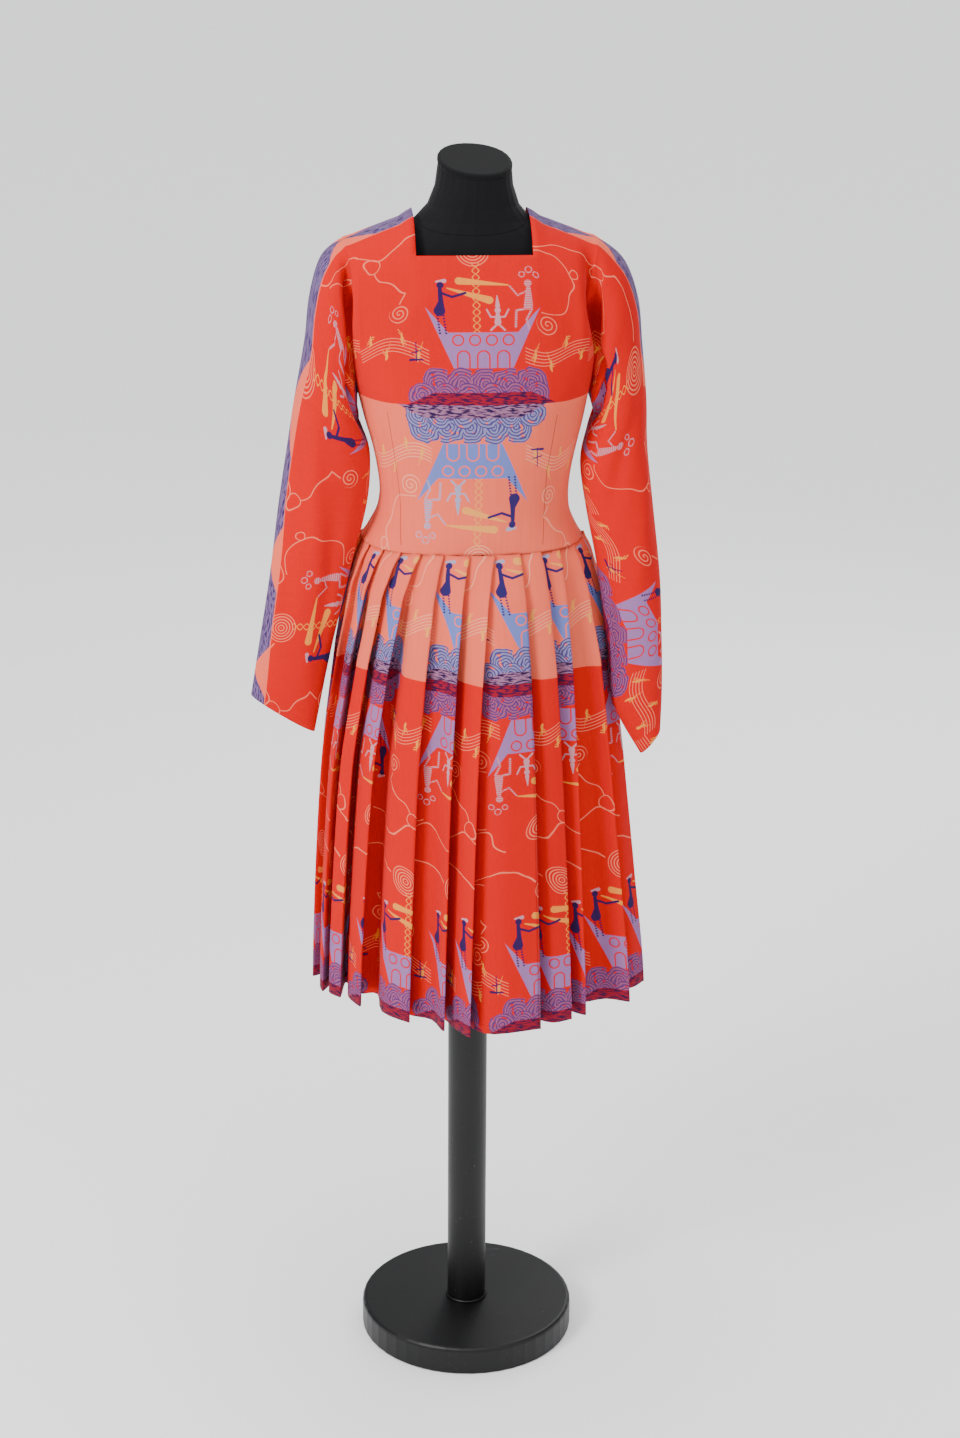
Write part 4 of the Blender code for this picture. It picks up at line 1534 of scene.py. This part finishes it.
    def seated_player(self, pen: Pen, spot: Socket) -> tuple[Socket, Socket]:
        """The pale plumed player, and that one's horn; with them the small tumbler.

        Args:
            pen: The pen to draw with.
            spot: The place in the scene.

        Returns:
            The pale figures and the horn.
        """
        figure = pen.first_of(
            pen.dot(spot, 0.0665, 0.1675, 0.0048),
            pen.ring(spot, 0.0590, 0.1800, 0.0036, 0.0007),
            pen.ring(spot, 0.0680, 0.1865, 0.0042, 0.0007),
            pen.ring(spot, 0.0775, 0.1800, 0.0038, 0.0007),
            pen.stroke(spot, (0.0670, 0.160), (0.0665, 0.137), 0.0030, 0.0058),
            pen.path(spot, 0.0010, (0.065, 0.157), (0.053, 0.151), (0.043, 0.164)),
            pen.path(spot, 0.0015, (0.067, 0.134), (0.051, 0.130), (0.050, 0.108)),
            pen.path(spot, 0.0013, (0.071, 0.132), (0.064, 0.118), (0.067, 0.106)),
        )
        _, w, _ = pen.parts(spot)
        threads = pen.math("SUBTRACT", pen.math("PINGPONG", w, 0.0016), 0.00115)
        figure = pen.common(figure, threads)
        tumbler = pen.first_of(
            pen.dot(spot, 0.027, 0.131, 0.0040),
            pen.stroke(spot, (0.027, 0.137), (0.0265, 0.151), 0.0030, 0.0006),
            pen.stroke(spot, (0.027, 0.126), (0.027, 0.115), 0.0024, 0.0044),
            pen.path(spot, 0.0011, (0.013, 0.132), (0.018, 0.122), (0.036, 0.122), (0.041, 0.132)),
            pen.path(spot, 0.0013, (0.018, 0.104), (0.027, 0.113), (0.036, 0.104)),
        )
        horn = pen.stroke(spot, (0.041, 0.1655), (-0.022, 0.1715), 0.0009, 0.0050)
        return pen.first_of(figure, tumbler), horn

    def small_boat(self, pen: Pen, spot: Socket) -> Socket:
        """The small dark sailing boat beside the ship.

        Args:
            pen: The pen to draw with.
            spot: The place in the scene.

        Returns:
            The shape.
        """
        return pen.first_of(
            pen.stroke(spot, (-0.0785, 0.062), (-0.0790, 0.088), 0.0008, 0.0006),
            pen.stroke(spot, (-0.0865, 0.0640), (-0.0700, 0.0630), 0.0018, 0.0010),
            pen.stroke(spot, (-0.0850, 0.0735), (-0.0725, 0.0760), 0.0008, 0.0008),
        )

    def build(self) -> bpy.types.NodeTree:
        """Make the print's node group, from a place in the scene to a colour.

        Returns:
            The node group.
        """
        group = new_group(
            "ship_print",
            (("Place", "NodeSocketVector"), ("Pale", "NodeSocketFloat")),
            (("Color", "NodeSocketColor"),),
        )
        pen = Pen(group)
        spot, pale = group.nodes["Group Input"].outputs[0:2]
        x, w, _ = pen.parts(spot)
        colour = pen.mix(pale, GROUND.on_red, GROUND.on_salmon)
        lines, notes = self.staves(pen, spot)
        pale_figures, long_horn = self.seated_player(pen, spot)
        dark_figure, hat, short_horn = self.standing_player(pen, spot)
        twist = pen.math("SINE", pen.math("MULTIPLY", w, 330.0))
        twist = pen.math("ABSOLUTE", pen.math("MULTIPLY", twist, 0.0042))
        beside_twist = pen.math("SUBTRACT", pen.math("ABSOLUTE", x), twist)
        mast = pen.math("SUBTRACT", pen.math("ABSOLUTE", beside_twist), self.line_half)
        mast = pen.common(mast, pen.math("SUBTRACT", 0.100, w), pen.math("SUBTRACT", w, 0.196))
        wave, wave_lines = self.waves(pen, spot)
        band, dashes = self.band(pen, spot)
        colour = self.paint(pen, colour, pen.first_of(self.ropes(pen, spot), lines), LINE, pale)
        colour = self.paint(pen, colour, pen.first_of(mast, notes, long_horn, short_horn), YELLOW, pale)
        colour = self.paint(pen, colour, self.hull(pen, spot), HULL, pale)
        colour = self.paint(pen, colour, wave, WAVE, pale)
        colour = self.paint(pen, colour, wave_lines, WAVE_LINE, pale)
        colour = self.paint(pen, colour, band, BAND, pale)
        colour = self.paint(pen, colour, dashes, DASH, pale)
        colour = self.paint(pen, colour, pen.first_of(pale_figures, hat), PALE, pale)
        colour = self.paint(pen, colour, pen.first_of(dark_figure, self.small_boat(pen, spot)), NAVY, pale)
        group.links.new(colour, group.nodes["Group Output"].inputs[0])
        return group


def use_group(pen: Pen, group: bpy.types.NodeTree, *values: Socket | float) -> list[Socket]:
    """Put a group in a tree, feed it, and return its outputs.

    Args:
        pen: The pen of the tree it goes in.
        group: The group.
        values: The group's inputs, in order.

    Returns:
        The group node's outputs.
    """
    node = pen.tree.nodes.new("ShaderNodeGroup")
    node.node_tree = group
    for socket, value in zip(node.inputs, values):
        pen.feed(socket, value)
    return list(node.outputs)


@dataclass
class BodiceLayout:
    """Where the print falls on the bodice: a band at chest height, and another along the shoulders."""

    ship_print: bpy.types.NodeTree
    band_at: float = 0.2846
    repeat: float = 0.310
    upper_scale: float = 1.075
    strip_repeat: float = 0.175
    strip_half: float = 0.018
    strip_taper: float = 0.42
    dashed: bool = True

    def build(self) -> bpy.types.NodeTree:
        """Make the node group, from the flat layout to a colour.

        Returns:
            The node group.
        """
        group = new_group(
            "bodice_layout_dashed" if self.dashed else "bodice_layout_plain",
            (("Flat", "NodeSocketVector"),),
            (("Color", "NodeSocketColor"), ("Seams", "NodeSocketFloat")),
        )
        pen = Pen(group)
        across, down, _ = pen.parts(group.nodes["Group Input"].outputs[0])
        out = pen.math("ABSOLUTE", across)
        left_slip = pen.math("MULTIPLY_ADD", across, -10.0, -2.0, clamp=True)
        near_slip = pen.math("MULTIPLY_ADD", across, 8.3, -2.1, clamp=True)
        far_slip = pen.math("MULTIPLY_ADD", across, 4.5, -1.8, clamp=True)
        slip = pen.math("MULTIPLY_ADD", left_slip, 0.047, pen.math("MULTIPLY", near_slip, 0.054))
        slip = pen.math("MULTIPLY_ADD", far_slip, 0.115, slip)
        from_band = pen.math("SUBTRACT", self.band_at, pen.math("ADD", down, slip))
        above = pen.math("MAXIMUM", from_band, 0.0)
        from_band = pen.math("MULTIPLY_ADD", above, self.upper_scale - 1.0, from_band)
        way = pen.math("SIGN", from_band)
        x = pen.math("WRAP", pen.math("MULTIPLY", across, way), 0.5 * self.repeat, -0.5 * self.repeat)
        spot = pen.place(x, pen.math("ABSOLUTE", from_band))
        pale = pen.math("LESS_THAN", from_band, 0.0)
        colour = use_group(pen, self.ship_print, spot, pale)[0]
        shoulder = pen.math("MULTIPLY_ADD", out, 12.5, -3.125)
        shoulder = pen.math("EXPONENT", pen.math("MULTIPLY", pen.math("MULTIPLY", shoulder, shoulder), -1.0))
        spread = pen.math("MULTIPLY_ADD", shoulder, pen.math("MULTIPLY_ADD", left_slip, 0.7, 0.8), 1.45)
        hidden = pen.math("MULTIPLY_ADD", across, 30.0, -9.9, clamp=True)
        level = pen.math("MULTIPLY_ADD", hidden, 0.08, pen.math("DIVIDE", down, spread))
        half_strip = 0.5 * self.strip_repeat
        strip_x = pen.math("WRAP", pen.math("SUBTRACT", across, half_strip), half_strip, -half_strip)
        taper = pen.math("MULTIPLY_ADD", pen.math("ABSOLUTE", strip_x), -self.strip_taper, self.strip_taper * 0.0840)
        lens = pen.math("SUBTRACT", level, pen.math("MINIMUM", taper, self.strip_half))
        stretch = pen.vector("MULTIPLY", group.nodes["Group Input"].outputs[0], (90.0, 520.0, 0.0))
        grain = pen.noise(stretch, 1.0, 1.0)
        lines = pen.math("MULTIPLY_ADD", grain, -0.008, 0.0044 if self.dashed else 0.0052)
        salmon = pen.cover(pen.math("SUBTRACT", level, self.strip_half + 0.001))
        colour = pen.mix(salmon, colour, GROUND.on_salmon)
        colour = pen.mix(pen.cover(lens), colour, STRIP_TONE)
        colour = pen.mix(pen.cover(pen.common(lens, lines)), colour, STRIP_LINE_TONE)
        group.links.new(colour, group.nodes["Group Output"].inputs[0])
        flat = group.nodes["Group Input"].outputs[0]
        darts = pen.first_of(*(pen.path(flat, 0.0006, *dart) for dart in DARTS))
        group.links.new(pen.cover(darts, 0.0012), group.nodes["Group Output"].inputs[1])
        return group


@dataclass
class SkirtLayout:
    """Where the print falls on the skirt: a band below the waist and another along the hem."""

    ship_print: bpy.types.NodeTree
    high_band: float = 0.168
    hem_band: float = 0.664
    high_scale: float = 1.073
    low_scale: float = 1.02
    high_repeat: float = 0.310
    hem_repeat: float = 0.200

    def build(self) -> bpy.types.NodeTree:
        """Make the node group, from the flat layout to a colour.

        Returns:
            The node group.
        """
        group = new_group(
            "skirt_layout",
            (("Flat", "NodeSocketVector"),),
            (("Color", "NodeSocketColor"), ("Seams", "NodeSocketFloat")),
        )
        pen = Pen(group)
        across, down, _ = pen.parts(group.nodes["Group Input"].outputs[0])
        low = pen.math("GREATER_THAN", down, 0.5 * (self.high_band + self.hem_band))
        nearest = pen.math("MULTIPLY_ADD", low, self.hem_band - self.high_band, self.high_band)
        scale = pen.math("MULTIPLY_ADD", low, self.low_scale - self.high_scale, self.high_scale)
        from_band = pen.math("MULTIPLY", pen.math("SUBTRACT", nearest, down), scale)
        way = pen.math("SIGN", from_band)
        half = pen.math("MULTIPLY_ADD", low, 0.5 * (self.hem_repeat - self.high_repeat), 0.5 * self.high_repeat)
        x = pen.math("WRAP", pen.math("MULTIPLY", across, way), half, pen.math("MULTIPLY", half, -1.0))
        spot = pen.place(x, pen.math("ABSOLUTE", from_band))
        pale = pen.math("LESS_THAN", down, self.high_band)
        colour = use_group(pen, self.ship_print, spot, pale)[0]
        group.links.new(colour, group.nodes["Group Output"].inputs[0])
        hem_line = pen.math("ABSOLUTE", pen.math("SUBTRACT", down, self.hem_band - 0.012))
        seam_line = pen.math("SUBTRACT", down, 0.0004)
        lines = pen.first_of(pen.math("SUBTRACT", hem_line, 0.0002), seam_line)
        group.links.new(pen.cover(lines, 0.0012), group.nodes["Group Output"].inputs[1])
        return group


THREAD_PAIR = 0.0011


def weave_group() -> bpy.types.NodeTree:
    """The plain weave: a height from crossing threads, and a slight unevenness of the dye.

    Returns:
        The group.
    """
    group = new_group(
        "plain_weave",
        (("Flat", "NodeSocketVector"),),
        (("Height", "NodeSocketFloat"), ("Uneven", "NodeSocketFloat")),
    )
    pen = Pen(group)
    flat = group.nodes["Group Input"].outputs[0]
    across, down, _ = pen.parts(flat)
    thread_turns = 2.0 * math.pi / THREAD_PAIR
    waves = [pen.math("SINE", pen.math("MULTIPLY", way, thread_turns)) for way in (across, down)]
    crossed = pen.math("MULTIPLY", *waves)
    slub = pen.noise(pen.vector("MULTIPLY", flat, (260.0, 14.0, 0.0)), 1.0, 2.0)
    height = pen.math("MULTIPLY_ADD", slub, 0.8, crossed)
    cloud = pen.noise(flat, 9.0, 3.0)
    uneven = pen.math("MULTIPLY_ADD", slub, 0.5, pen.math("MULTIPLY", cloud, 0.5))
    group.links.new(height, group.nodes["Group Output"].inputs[0])
    group.links.new(uneven, group.nodes["Group Output"].inputs[1])
    return group


def start_material(
    name: str, roughness: float | None, specular: float, sheen: float = 0.0, sheen_roughness: float = 0.5
) -> tuple[bpy.types.Material, Pen, bpy.types.Node]:
    """Make a material whose shader has its plain numbers set.

    Args:
        name: The material's name.
        roughness: The roughness, or None where the caller feeds it.
        specular: The specular level.
        sheen: The weight of the cloth sheen.
        sheen_roughness: How wide that sheen is.

    Returns:
        The material, a pen in its tree, and its shader.
    """
    made = bpy.data.materials.new(name)
    made.use_nodes = True
    shader = made.node_tree.nodes["Principled BSDF"]
    if roughness is not None:
        shader.inputs["Roughness"].default_value = roughness
    shader.inputs["Specular IOR Level"].default_value = specular
    shader.inputs["Sheen Weight"].default_value = sheen
    shader.inputs["Sheen Roughness"].default_value = sheen_roughness
    return made, Pen(made.node_tree), shader


# How the dye varies: the slope and most of the share of another tone, and that tone.
RIGHT_SIDE_SHADE = (-0.30, 0.22, screen_colour(120, 24, 20))
WRONG_SIDE_FADE = (-0.25, 0.45, screen_colour(190, 90, 80))
STITCH_TONE = screen_colour(92, 22, 20)


@dataclass(frozen=True)
class ClothFinish:
    """Matt dress cloth with the print on it."""

    name: str
    layout: bpy.types.NodeTree
    weave: bpy.types.NodeTree
    inside: bool = False

    def material(self) -> bpy.types.Material:
        """Make the material.

        Returns:
            The material.
        """
        made, pen, shader = start_material(self.name, 0.88, 0.10, 0.03, 0.45)
        flat = made.node_tree.nodes.new("ShaderNodeUVMap")
        flat.uv_map = "flat_cut"
        colour, seams = use_group(pen, self.layout, flat.outputs[0])[0:2]
        height, uneven = use_group(pen, self.weave, flat.outputs[0])[0:2]
        height = pen.math("MULTIPLY_ADD", seams, -4.0, height)
        slope, most, tone = WRONG_SIDE_FADE if self.inside else RIGHT_SIDE_SHADE
        deep = pen.math("MULTIPLY_ADD", uneven, slope, most, clamp=True)
        colour = pen.mix(deep, colour, tone)
        colour = pen.mix(pen.math("MULTIPLY", seams, 0.55), colour, STITCH_TONE)
        pen.feed(shader.inputs["Base Color"], colour)
        pen.feed(shader.inputs["Normal"], pen.bump(height, 0.22, 0.0002))
        return made


@dataclass(frozen=True)
class JerseyFinish:
    """The form's dark knitted cover."""

    name: str
    tone: Colour
    light_tone: Colour
    seam_height: float = 1.626
    seam_slope: float = 0.42

    def material(self) -> bpy.types.Material:
        """Make the material.

        Returns:
            The material.
        """
        made, pen, shader = start_material(self.name, 0.78, 0.12, 0.06)
        place = made.node_tree.nodes.new("ShaderNodeTexCoord").outputs["Object"]
        knit = pen.noise(place, 900.0, 2.0)
        cloud = pen.noise(place, 11.0, 3.0)
        share = pen.math("MULTIPLY_ADD", knit, 0.35, pen.math("MULTIPLY", cloud, 0.5), clamp=True)
        _, back, up = pen.parts(place)
        seam = pen.math("MULTIPLY_ADD", back, -self.seam_slope, up)
        seam = pen.math("SUBTRACT", seam, self.seam_height + self.seam_slope * (0.060 - AXIS.y))
        seam = pen.cover(pen.math("SUBTRACT", pen.math("ABSOLUTE", seam), 0.0008), 0.0012)
        colour = pen.mix(share, self.tone, self.light_tone)
        pen.feed(shader.inputs["Base Color"], pen.mix(pen.math("MULTIPLY", seam, 0.7), colour, self.tone))
        height = pen.math("MULTIPLY_ADD", seam, -3.0, knit)
        pen.feed(shader.inputs["Normal"], pen.bump(height, 0.35, 0.0004))
        return made


@dataclass(frozen=True)
class PaintFinish:
    """Satin black paint with rub marks and fine dust."""

    name: str
    tone: Colour
    worn_tone: Colour

    def material(self) -> bpy.types.Material:
        """Make the material.

        Returns:
            The material.
        """
        made, pen, shader = start_material(self.name, None, 0.32)
        place = made.node_tree.nodes.new("ShaderNodeTexCoord").outputs["Object"]
        cloud = pen.noise(place, 7.0, 5.0)
        grain = pen.noise(place, 260.0, 2.0)
        scratch = pen.noise(pen.vector("MULTIPLY", place, (34.0, 420.0, 60.0)), 1.0, 2.0)
        marks = pen.math("MULTIPLY_ADD", pen.math("MULTIPLY", scratch, cloud), 9.0, -3.9, clamp=True)
        specks = pen.math("MULTIPLY_ADD", grain, 14.0, -9.9, clamp=True)
        worn = pen.math("MAXIMUM", marks, specks)
        pen.feed(shader.inputs["Base Color"], pen.mix(worn, self.tone, self.worn_tone))
        pen.feed(shader.inputs["Roughness"], pen.math("MULTIPLY_ADD", cloud, 0.24, 0.30))
        pen.feed(shader.inputs["Normal"], pen.bump(grain, 0.12, 0.0003))
        return made


# ---- The dress form -----------------------------------------------------------------------------------


def dress_node(name: str, finish: bpy.types.Material) -> None:
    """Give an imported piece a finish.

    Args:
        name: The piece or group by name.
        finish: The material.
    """
    node = bpy.data.objects[name]
    node.material_slots[0].material = finish
    LOG.info("dressed %s", name)


@dataclass
class DressForm:
    """The limbless form on its pole and round base."""

    def dress(self) -> None:
        """Put the finishes on the form, its pole and its base."""
        paint = PaintFinish("black_satin_paint", screen_colour(9, 9, 10), screen_colour(66, 66, 68)).material()
        jersey = JerseyFinish("black_jersey", screen_colour(4, 4, 6), screen_colour(22, 20, 24)).material()
        cap = JerseyFinish("charcoal_cap", screen_colour(3, 3, 4), screen_colour(14, 14, 16)).material()
        for name in ("base_disc", "pole", "pole_ring"):
            dress_node(name, paint)
        dress_node("form_torso", jersey)
        dress_node("neck_cap", cap)


@dataclass
class Dress:
    """The whole dress: bodice and skirt, each front and back."""

    bodice: Bodice = field(default_factory=Bodice)

    def build(self) -> list[bpy.types.Object]:
        """Make every sheet of the dress and put the print on it.

        Returns:
            The four sheets.
        """
        ship_print = ShipPrint().build()
        weave = weave_group()
        front_layout = BodiceLayout(ship_print).build()
        back_layout = BodiceLayout(ship_print, dashed=False).build()
        skirt_layout = SkirtLayout(ship_print).build()
        skirt = Skirt(self.bodice)
        made = []
        rows = (
            (self.bodice.build(Side.FRONT, FRONT_CREASES), front_layout, "bodice_front", (1.68, 0.49), 0.42),
            (self.bodice.build(Side.BACK, BACK_CREASES), back_layout, "bodice_back", (1.68, 0.49), 0.42),
            (skirt.build(Side.FRONT), skirt_layout, "skirt_front", (1.70, 0.664), None),
            (skirt.build(Side.BACK), skirt_layout, "skirt_back", (1.70, 0.664), None),
        )
        for cloth, layout, node, flat, share in rows:
            for ending, inside in (("_right_side", False), ("_wrong_side", True)):
                cloth.data.materials.append(ClothFinish(cloth.name + ending, layout, weave, inside).material())
            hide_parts(node)
            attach(cloth, "root")
            LOG.info("made %s from a sheet of %.2f by %.2f m", cloth.name, *flat)
            made.append(cloth)
        return made


FRONT_CREASES = (
    Crease(-0.190, 0.486, 0.190, 0.486, -0.0024, 0.007),
    Crease(-0.181, 0.050, -0.181, 0.150, -0.018, 0.012),
    Crease(-0.181, 0.130, -0.210, 0.200, -0.028, 0.015),
    Crease(-0.210, 0.190, -0.330, 0.165, -0.016, 0.016),
    Crease(-0.160, 0.100, -0.158, 0.235, 0.005, 0.009),
    Crease(0.161, 0.050, 0.164, 0.150, -0.018, 0.012),
    Crease(0.164, 0.130, 0.190, 0.200, -0.028, 0.015),
    Crease(0.190, 0.190, 0.310, 0.165, -0.016, 0.016),
    Crease(0.140, 0.100, 0.143, 0.235, 0.005, 0.009),
    Crease(-0.340, 0.060, -0.560, 0.084, 0.005, 0.012),
    Crease(-0.430, 0.100, -0.700, 0.098, -0.005, 0.013),
    Crease(-0.470, 0.030, -0.640, 0.052, -0.003, 0.012),
    Crease(0.330, 0.052, 0.470, 0.092, -0.005, 0.012),
    Crease(0.400, 0.030, 0.600, 0.060, 0.004, 0.013),
    Crease(0.470, 0.100, 0.700, 0.090, -0.005, 0.012),
    Crease(-0.150, 0.270, -0.060, 0.300, 0.003, 0.012),
    Crease(-0.140, 0.330, -0.110, 0.440, -0.003, 0.010),
    Crease(0.140, 0.275, 0.060, 0.305, 0.003, 0.012),
    Crease(0.132, 0.330, 0.102, 0.440, -0.003, 0.010),
    Crease(-0.060, 0.420, 0.050, 0.428, 0.0018, 0.009),
    Crease(-0.040, 0.120, -0.105, 0.190, 0.002, 0.015),
    Crease(0.050, 0.120, 0.100, 0.195, 0.002, 0.015),
)
BACK_CREASES = (
    Crease(-0.190, 0.486, 0.190, 0.486, -0.0024, 0.007),
    Crease(-0.170, 0.045, -0.200, 0.120, -0.011, 0.015),
    Crease(-0.200, 0.120, -0.250, 0.172, -0.018, 0.020),
    Crease(-0.250, 0.172, -0.340, 0.165, -0.012, 0.018),
    Crease(0.166, 0.050, 0.190, 0.130, -0.011, 0.015),
    Crease(0.190, 0.130, 0.235, 0.180, -0.018, 0.020),
    Crease(0.235, 0.180, 0.320, 0.165, -0.012, 0.018),
    Crease(-0.360, 0.070, -0.540, 0.090, 0.005, 0.013),
    Crease(-0.460, 0.100, -0.690, 0.080, -0.005, 0.013),
    Crease(0.350, 0.060, 0.520, 0.094, -0.005, 0.013),
    Crease(0.430, 0.040, 0.650, 0.070, 0.005, 0.014),
    Crease(-0.120, 0.300, -0.030, 0.350, 0.003, 0.013),
    Crease(0.125, 0.310, 0.040, 0.340, -0.003, 0.013),
    Crease(-0.100, 0.400, 0.030, 0.420, 0.003, 0.010),
    Crease(0.020, 0.440, 0.110, 0.425, -0.002, 0.009),
)
DARTS = (
    ((-0.123, 0.300), (-0.1137, 0.3956), (-0.1027, 0.480)),
    ((0.108, 0.304), (0.0947, 0.3801), (0.0913, 0.480)),
)


def set_camera() -> None:
    """Place the camera: a long lens from the front, a little to the left and above."""
    data = bpy.data.cameras.new("view")
    camera = bpy.data.objects.new("view", data)
    bpy.context.scene.collection.objects.link(camera)
    data.sensor_fit = "VERTICAL"
    data.sensor_height = 36.0
    data.lens = 71.30
    data.clip_end = 50.0
    camera.location = AXIS + Vector((-0.226, -3.693, 2.282))
    turn = Quaternion((0.0, 0.0, 1.0), math.radians(-3.736))
    tip = Quaternion((1.0, 0.0, 0.0), math.radians(90.0 - 19.8))
    roll = Quaternion((0.0, 0.0, 1.0), math.radians(0.35))
    camera.rotation_mode = "QUATERNION"
    camera.rotation_quaternion = turn @ tip @ roll
    bpy.context.scene.camera = camera


def set_stage() -> None:
    """Lay a wide pale floor, and light it with wide soft lights."""
    bm = bmesh.new()
    bmesh.ops.create_grid(bm, x_segments=4, y_segments=4, size=40.0)
    mesh = bpy.data.meshes.new("floor")
    bm.to_mesh(mesh)
    bm.free()
    floor = bpy.data.objects.new("floor", mesh)
    bpy.context.scene.collection.objects.link(floor)
    paper = bpy.data.materials.new("pale_paper")
    paper.use_nodes = True
    shader = paper.node_tree.nodes["Principled BSDF"]
    shader.inputs["Base Color"].default_value = screen_colour(250, 250, 251)
    shader.inputs["Roughness"].default_value = 0.9
    shader.inputs["Specular IOR Level"].default_value = 0.1
    mesh.materials.append(paper)
    for name, place, aim, size, power in (
        ("key", (-2.5, -2.3, 2.9), (0.0, 0.0, 1.1), 1.3, 140.0),
        ("fill", (2.6, -2.8, 1.8), (0.0, 0.0, 1.0), 2.2, 16.0),
        ("rim", (1.6, 3.0, 2.6), (0.0, 0.0, 1.0), 2.0, 40.0),
    ):
        lamp = bpy.data.lights.new(name, "AREA")
        lamp.size = size
        lamp.energy = power
        holder = bpy.data.objects.new(name, lamp)
        bpy.context.scene.collection.objects.link(holder)
        holder.location = place
        holder.rotation_euler = (Vector(aim) - Vector(place)).to_track_quat("-Z", "Y").to_euler()
    # Light from straight above brightens the floor more than the upright cloth.
    sky = bpy.data.lights.new("overhead", "SUN")
    sky.energy = 3.3
    sky.angle = math.radians(70.0)
    overhead = bpy.data.objects.new("overhead", sky)
    bpy.context.scene.collection.objects.link(overhead)
    world = bpy.data.worlds.new("pale_room")
    world.use_nodes = True
    world.node_tree.nodes["Background"].inputs["Color"].default_value = screen_colour(236, 238, 242)
    world.node_tree.nodes["Background"].inputs["Strength"].default_value = 0.44
    bpy.context.scene.world = world


def main() -> None:
    """Dress the form, build the dress, and set the view."""
    logging.basicConfig(level=logging.INFO, format="%(name)s: %(message)s")
    DressForm().dress()
    Dress().build()
    set_stage()
    set_camera()
    bpy.context.view_layer.update()


if __name__ == "__main__":
    main()
